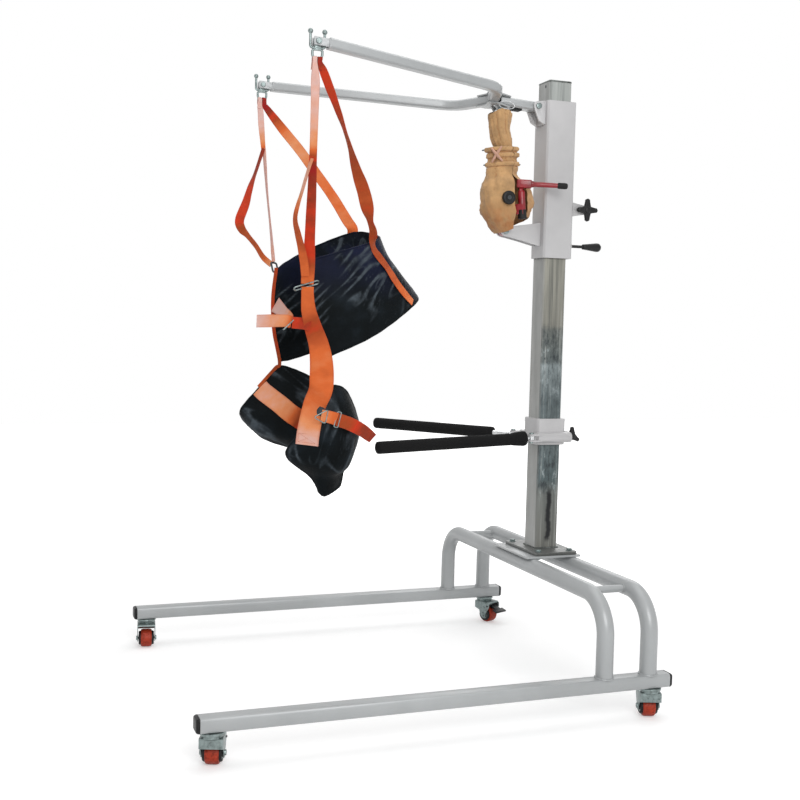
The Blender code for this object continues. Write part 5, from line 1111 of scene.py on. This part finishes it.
def ribbon(name, rows, nodes=(), ripple=0.0):
    """Strap of webbing through stations, with its painted light and shade and its weave's coordinates."""
    stations = smooth_rows(rows, 7)
    centres = [Vector(s[:3]) for s in stations]
    widths = [s[3] for s in stations]
    lengths = [0.0]
    for a, b in zip(centres, centres[1:]):
        lengths.append(lengths[-1] + (b - a).length)
    rings, values = [], []
    for (*_, painted_shading, nx, ny, nz, twist), width, centre, tangent, length in zip(
            stations, widths, centres, tangents(centres), lengths):
        side = tangent.cross(Vector((nx, ny, nz))).normalized()
        normal = side.cross(tangent).normalized()
        turn = Matrix.Rotation(math.radians(twist), 3, tangent)
        side, normal = turn @ side, turn @ normal
        ring = []
        for face in (1.0, -1.0):
            for a in (c / 4 * face for c in range(-4, 5)):
                wave = noise.noise(centre * 40.0 + side * a * 0.6) + 0.8 * math.sin(length * 90.0 + a * 1.9)
                half = WEB_T / 2 * (1.0 - 0.45 * abs(a) ** 8)
                ring.append(centre + side * a * width / 2 + normal * (face * half + ripple * wave))
                values.append((a * width / 2, length, painted_shading, abs(a)))
        rings.append(ring)
    bm = bmesh.new()
    layer = bm.loops.layers.uv.new("web")
    skin(bm, rings)
    at_vertex = dict(zip(bm.verts, values))
    for face in bm.faces:
        for loop in face.loops:
            loop[layer].uv = at_vertex[loop.vert][:2]
    piece = finished(name, bm, LOOKS["orange_webbing"], 70)
    add_values(piece, "painted_shading", [value[2] for value in values])
    add_values(piece, "across", [value[3] for value in values])
    settle(piece, "sling", "orange_webbing", *nodes)


def stitches(name, centre, along, normal, width, length):
    """Box of raised thread stitches, with its diagonals."""
    along, normal = Vector(along).normalized(), Vector(normal).normalized()
    across = along.cross(normal).normalized()
    a, b, c, d = (Vector((x * width / 2, y * length / 2)) for x, y in ((-1, -1), (1, -1), (1, 1), (-1, 1)))
    pitch, stitch = 0.0036, 0.0026
    rods = []
    for start, stop in ((a, b), (b, c), (c, d), (d, a), (a, c), (b, d)):
        count = max(1, int((stop - start).length / pitch))
        half = (stop - start).normalized() * stitch / 2
        for k in range(count):
            p = start + (stop - start) * ((k + 0.5) / count)
            ends = [Vector(centre) + across * q.x + along * q.y for q in (p - half, p, p + half)]
            rods.append((sweep, ends, [0.00025, 0.00050, 0.00025], 6, False, normal))
    build(name, "sling", "orange_webbing", *rods, look=THREAD, smooth=60)


def build_straps(grids, skins):
    """Straps of both sides, from the hooks down, with their rings and buckles."""
    vest, thigh_left = grids["back_pad"], grids["thigh_pad_left"]
    front_y, rear_y = -0.3685, -0.3535

    # Narrow binding down the vest's far edge and on along the far leg pad's edge
    edge = [at(vest, u, 0) for u in (0.0, 0.33, 0.66, 1.0)] + [at(thigh_left, u, 0) for u in (0.04, 0.16, 0.30)]
    rows = [station(p + Vector((0.002, -0.0045, 0)), 0.011, painted_shading, (0.90, -0.45, 0.0))
            for p, painted_shading in zip(edge, (0.34, 0.30, 0.30, 0.36, 0.36, 0.40, 0.46))]
    ribbon("edge_strap_left", rows, ripple=0.0004)

    # Right side, front strap, in two strands below its stitched section
    body = web(
        OUT,
        (314, -364, 1776, 24, 97), (310, -363, 1723, 22.5, 95), (300, -361, 1657, 21.5, 88),
        (290, -359, 1605, 21, 74), (278, -356.5, 1552, 22, 6), (262, -353, 1486, 25, 12),
        (245, -350, 1419, 28, 16), (228, -347, 1350, 30, 20), (212, -344, 1290, 36, 30),
        (196, -342, 1243, 37, 58), (192, -341.5, 1228, 36, 62))
    ribbon("strap_right_front", bail_loop(1.0, front_y, 0.98) + body, nodes=["straps_right"], ripple=0.0006)
    split = web(
        OUT,
        (283, -361, 1570, 16, 84, 45), (274, -372, 1524, 18, 88, 58), (266, -383, 1478, 20, 86, 60),
        (252, -396.5, 1413, 22, 50, 52), (236, -385, 1370, 24, 44, 45), (222, -370, 1330, 24, 46, 28),
        (212, -358, 1289, 24, 52, 5), (201, -350, 1250, 24, 58, 0))
    ribbon("strap_right_split", split, ripple=0.0004)
    stitches("stitch_right_front", (0.2955, -0.3602, 1.632), (-0.19, 0.02, -0.98), OUT, 0.016, 0.052)
    path = ring_path((0.193, -0.344, 1.2235), (-0.10, 0.95, 0.30), (0.85, -0.25, 0.45), 0.078, 0.020, 0.007)
    wire("strap_ring_right", path, 0.0020)

    # Tabs that join the vest's right edge to the main strap
    for name, start, stop in (("upper", (166.5, -326.8, 1260), (188.5, -338.5, 1248)),
                              ("lower", (156, -296, 1030), (177, -296, 1024))):
        start, stop = Vector(mm(start)), Vector(mm(stop))
        facing = (stop - start).cross(Z_AXIS)
        rows = [station(start.lerp(stop, t), 0.030, 0.40, facing) for t in (0.0, 0.33, 0.67, 1.0)]
        ribbon(f"vest_tab_{name}", rows, ripple=0.0002)

    # Right side, lower main strap, down over the leg pad
    lower = web(
        OUT,
        (191.5, -340.5, 1220, 36, 62), (190, -339.5, 1197, 36, 56), (188, -335, 1154, 42, 52),
        (185, -320, 1106, 50, 30), (182, -301, 1055, 58, 52), (179, -292, 1011, 66, 62),
        (176, -288.5, 968, 70, 60), (173, -290, 924, 69, 60))
    for x, y, z, painted_shading in ((150, -300, 878, 0.64), (148, -309, 836, 0.74), (144, -315.5, 795, 0.90),
                          (140, -318, 762, 0.93)):
        place, normal = above(skins["thigh_pad_right"], mm((x, y, z)), OUT, 0.0035)
        lower.append(station(place, 0.067, painted_shading, normal + OUT * 2))
    ribbon("strap_right_lower", lower, ripple=0.0012)
    before, end = (Vector(row[:3]) for row in lower[-2:])
    stitches("stitch_right_lower", end + Vector((0, 0, 0.020)) + OUT * 0.0030, before - end, lower[-1][5:8],
             0.050, 0.026)

    # Right side, rear strap, down on the vest's back edge
    body = web(
        OUT,
        (309, -337, 1795, 24, 22, 12), (285, -290, 1707, 26, 28, 50), (269, -260, 1646, 28, 34, 72),
        (258, -241, 1605, 30, 36, 62), (245, -219, 1552, 34, 36, 36), (231, -193, 1499, 37, 37, 0),
        (222, -178, 1458, 38, 36, 0), (213, -164, 1415, 28, 34, 50), (203, -150, 1385, 24, 36, 25))
    places = ((0.06, 0.726, 0.36), (0.18, 0.716, 0.36), (0.38, 0.696, 0.42), (0.62, 0.678, 0.52),
              (0.84, 0.668, 0.64), (0.965, 0.662, 0.68))
    rest = laid(skins["back_pad"], vest, places, (0.90, 0.10, 0.10), 0.0028, 0.026)
    ribbon("strap_right_rear", bail_loop(1.0, rear_y, 0.04) + body + rest, ripple=0.0005)

    # Left side, front strap and its two strands
    body = web(
        OUT,
        (-313, -366.5, 1798, 18, 100), (-303, -365, 1749, 19, 96), (-293, -362.5, 1700, 16, 80),
        (-286, -360.5, 1667, 14, 50))
    ribbon("strap_left_front", bail_loop(-1.0, front_y, 1.0) + body, nodes=["straps_left"], ripple=0.0004)
    thin = web(
        OUT,
        (-285, -359, 1672, 12, 95, 20), (-250, -356, 1537, 14, 100, 58), (-215, -350, 1408, 14, 100, 58),
        (-179.4, -348.1, 1306.4, 12, 92, 20))
    ribbon("strap_left_thin", thin, ripple=0.0003)
    split = web(
        OUT,
        (-285, -361, 1672, 12, 10, 20), (-275, -383.5, 1607, 20, 8, 56), (-262, -408.2, 1541, 26, 20, 40),
        (-250, -424.6, 1489, 29, 24, 20), (-238, -445.5, 1436, 29, 22, 0), (-230, -440, 1408, 28, 36, 20),
        (-223, -423, 1388, 26, 46, 48), (-210, -397.9, 1355, 22, 46, 48), (-198, -377.7, 1321, 20, 54, 30),
        (-179.4, -354.1, 1296.4, 18, 90, 5))
    ribbon("strap_left_split", split, ripple=0.0004)
    path = ring_path((-0.170, -0.3465, 1.288), (-0.52, -0.075, 0.85), (0.3, -0.9, 0.1), 0.036, 0.020, 0.005)
    wire("strap_buckle_left", path, 0.0030, DARK_STEEL)

    # Left side, rear strap
    body = web(
        (0.85, -0.30, 0.40),
        (-306, -343, 1798, 22, 4, 20), (-278, -299, 1735, 31, 60), (-248, -253, 1672, 32, 80),
        (-220, -206, 1601, 32, 66), (-185, -156, 1521, 32, 62), (-150, -118, 1446, 34, 66),
        (-133, -104, 1416, 34, 60))
    places = ((0.10, 0.315, 0.55), (0.25, 0.315, 0.50), (0.42, 0.315, 0.50), (0.52, 0.315, 0.50))
    rest = laid(skins["back_pad"], vest, places, (-0.75, 0.60, 0.20), 0.0028, 0.032, -1.0)
    ribbon("strap_left_rear", bail_loop(-1.0, rear_y, 0.02) + body + rest, ripple=0.0006)

    # Band round the far leg pad
    places = ((0.31, 0.02, 0.84), (0.335, 0.12, 0.86), (0.36, 0.25, 0.84), (0.39, 0.40, 0.82),
              (0.42, 0.55, 0.70), (0.45, 0.70, 0.24), (0.47, 0.85, 0.18))
    rows = laid(skins["thigh_pad_left"], thigh_left, places, (0.65, -0.66, 0.36), 0.0026, 0.058)
    ribbon("band_left", rows, ripple=0.0004)


def build_belt():
    """Waist belt from the far edge to a ring beside the near strap, and its folded tail."""
    belt = web(
        (0.70, -0.70, 0.15),
        (-151, -347.5, 1172, 50, 97), (-115, -345, 1162, 44, 98), (-50, -345, 1148, 34, 95),
        (30, -350, 1134, 30, 80), (95, -362, 1122, 30, 55), (144, -376, 1115, 31, 30))
    ribbon("waist_belt", belt, ["waist_strap"], 0.0005)
    path = ring_path((0.146, -0.378, 1.114), (0.0, 0.73, 0.68), OUT, 0.052, 0.012, 0.005)
    wire("waist_ring", path, 0.0018, up=Vector((0.2, -0.9, 0.0)))
    tail = web(
        (0.80, -0.58, 0.10),
        (147, -374, 1119, 34, 50), (138, -390, 1122, 36, 78), (118, -420, 1121, 37, 84),
        (86, -462, 1119, 37, 99))
    ribbon("waist_tail", tail, ripple=0.0007)
    joint = web(
        (0.85, -0.50, 0.1),
        (187, -328, 1111, 34, 16), (175, -345, 1115, 34, 16), (150, -372, 1117, 33, 24))
    ribbon("waist_joint", joint)


def build_thigh_strap():
    """D ring sewn to the main strap, the doubled loop, the adjuster bar and the tail."""
    low, high, nose = (Vector(mm(p)) for p in ((180, -276, 826), (182, -268, 868), (182, -312, 846)))
    path = [a.lerp(b, t / 8) for a, b in ((low, high), (high, nose), (nose, low)) for t in range(8)]
    wire("thigh_d_ring", rounded(path, 2), 0.0017)
    loop = web(
        OUT,
        (179, -288, 850, 36, 80), (180, -264, 846, 36, 66), (178, -240, 839, 38, 52))
    ribbon("thigh_loop", loop, ["thigh_strap"])
    path = ring_path((0.1775, -0.238, 0.838), (0.0, 0.25, 0.97), (0.0, 0.97, -0.25), 0.046, 0.012, 0.004)
    wire("thigh_adjuster", path, 0.0017)
    tail = web(
        OUT,
        (176.5, -238, 838, 38, 36), (176.5, -200, 825, 39, 33), (174, -163, 807, 38, 12),
        (169, -138, 790, 35, 10), (164, -124, 780, 31, 8))
    ribbon("thigh_tail", tail, ripple=0.0006)


# Studio

def build_camera():
    turn, tilt, roll = CAMERA_TURN, CAMERA_TILT, CAMERA_ROLL
    back = Vector((math.sin(turn) * math.cos(tilt), -math.cos(turn) * math.cos(tilt), math.sin(tilt)))
    level = Vector((math.cos(turn), math.sin(turn), 0))
    upright = back.cross(level)
    right = level * math.cos(roll) + upright * math.sin(roll)
    up = upright * math.cos(roll) - level * math.sin(roll)
    matrix = Matrix((right, up, back)).transposed().to_4x4()
    matrix.translation = CAMERA_PLACE
    data = bpy.data.cameras.new("camera")
    data.sensor_width = 36.0
    data.lens = CAMERA_LENS
    data.clip_end = 50.0
    camera = bpy.data.objects.new("camera", data)
    camera.matrix_world = matrix
    scene.collection.objects.link(camera)
    scene.camera = camera


def build_light():
    """Grey surroundings that the camera sees as white, and three soft lamps."""
    world = bpy.data.worlds.new("studio")
    world.use_nodes = True
    tree = world.node_tree
    rays = add_node(tree, "LightPath").outputs

    def maths(operation, first, second):
        return add_node(tree, "Math", {0: first, 1: second}, operation=operation).outputs[0]
    seen = maths("MAXIMUM", rays["Is Camera Ray"], rays["Is Transmission Ray"])
    glossy = maths("MULTIPLY", rays["Is Glossy Ray"], 0.80)
    level = add_node(tree, "MapRange", {"Value": maths("MAXIMUM", seen, glossy), "To Min": 0.46, "To Max": 1.0})
    background = tree.nodes["Background"].inputs
    tree.links.new(level.outputs[0], background["Strength"])
    background["Color"].default_value = (1.0, 1.0, 1.0, 1.0)
    scene.world = world
    for name, place, aim, size, power in (
            ("key", (4.4, -0.4, 2.8), (0.0, 0.1, 1.1), 2.4, 104.0),
            ("top", (-0.3, 0.2, 4.2), (0.0, 0.1, 0.0), 3.4, 48.0),
            ("back", (-3.0, 2.4, 2.6), (0.0, 0.2, 0.9), 2.4, 22.0)):
        lamp = bpy.data.lights.new(name, "AREA")
        lamp.size = size
        lamp.energy = power
        made = bpy.data.objects.new(name, lamp)
        made.location = place
        made.rotation_euler = (Vector(aim) - Vector(place)).to_track_quat("-Z", "Y").to_euler()
        scene.collection.objects.link(made)


def build_floor():
    """Pale floor that keeps the shadow and fades to white further out."""
    look = Look("pale_floor", 0.9, Emission_Color=(1.0, 1.0, 1.0, 1.0))
    look.color(look.ramp(look.noise(3.0), (0.3, (0.80, 0.80, 0.80)), (0.7, (0.83, 0.83, 0.83))))
    rays = look.node("LightPath").outputs
    seen = look.maths("MAXIMUM", rays["Is Camera Ray"], rays["Is Glossy Ray"])
    reach = look.node("VectorMath", {0: look.place}, operation="LENGTH").outputs["Value"]
    look.tree.links.new(look.maths("MULTIPLY", seen, look.remap(reach, 0.36, 1.0, 1.3, 3.2)),
                        look.shader.inputs["Emission Strength"])
    bm = bmesh.new()
    bm.faces.new([bm.verts.new((x, y, 0)) for x, y in ((-9, -9), (9, -9), (9, 9), (-9, 9))])
    finished("floor", bm, look.material)


build_camera()
build_light()
build_floor()
dress_rigid_nodes()
build_arches()
build_mast_foot()
build_plug_domes()
build_wheels()
build_rails()
build_jack_cover()
build_jack_details()
build_hooks()
pad_grids, pad_skins = build_pads()
build_straps(pad_grids, pad_skins)
build_belt()
build_thigh_strap()
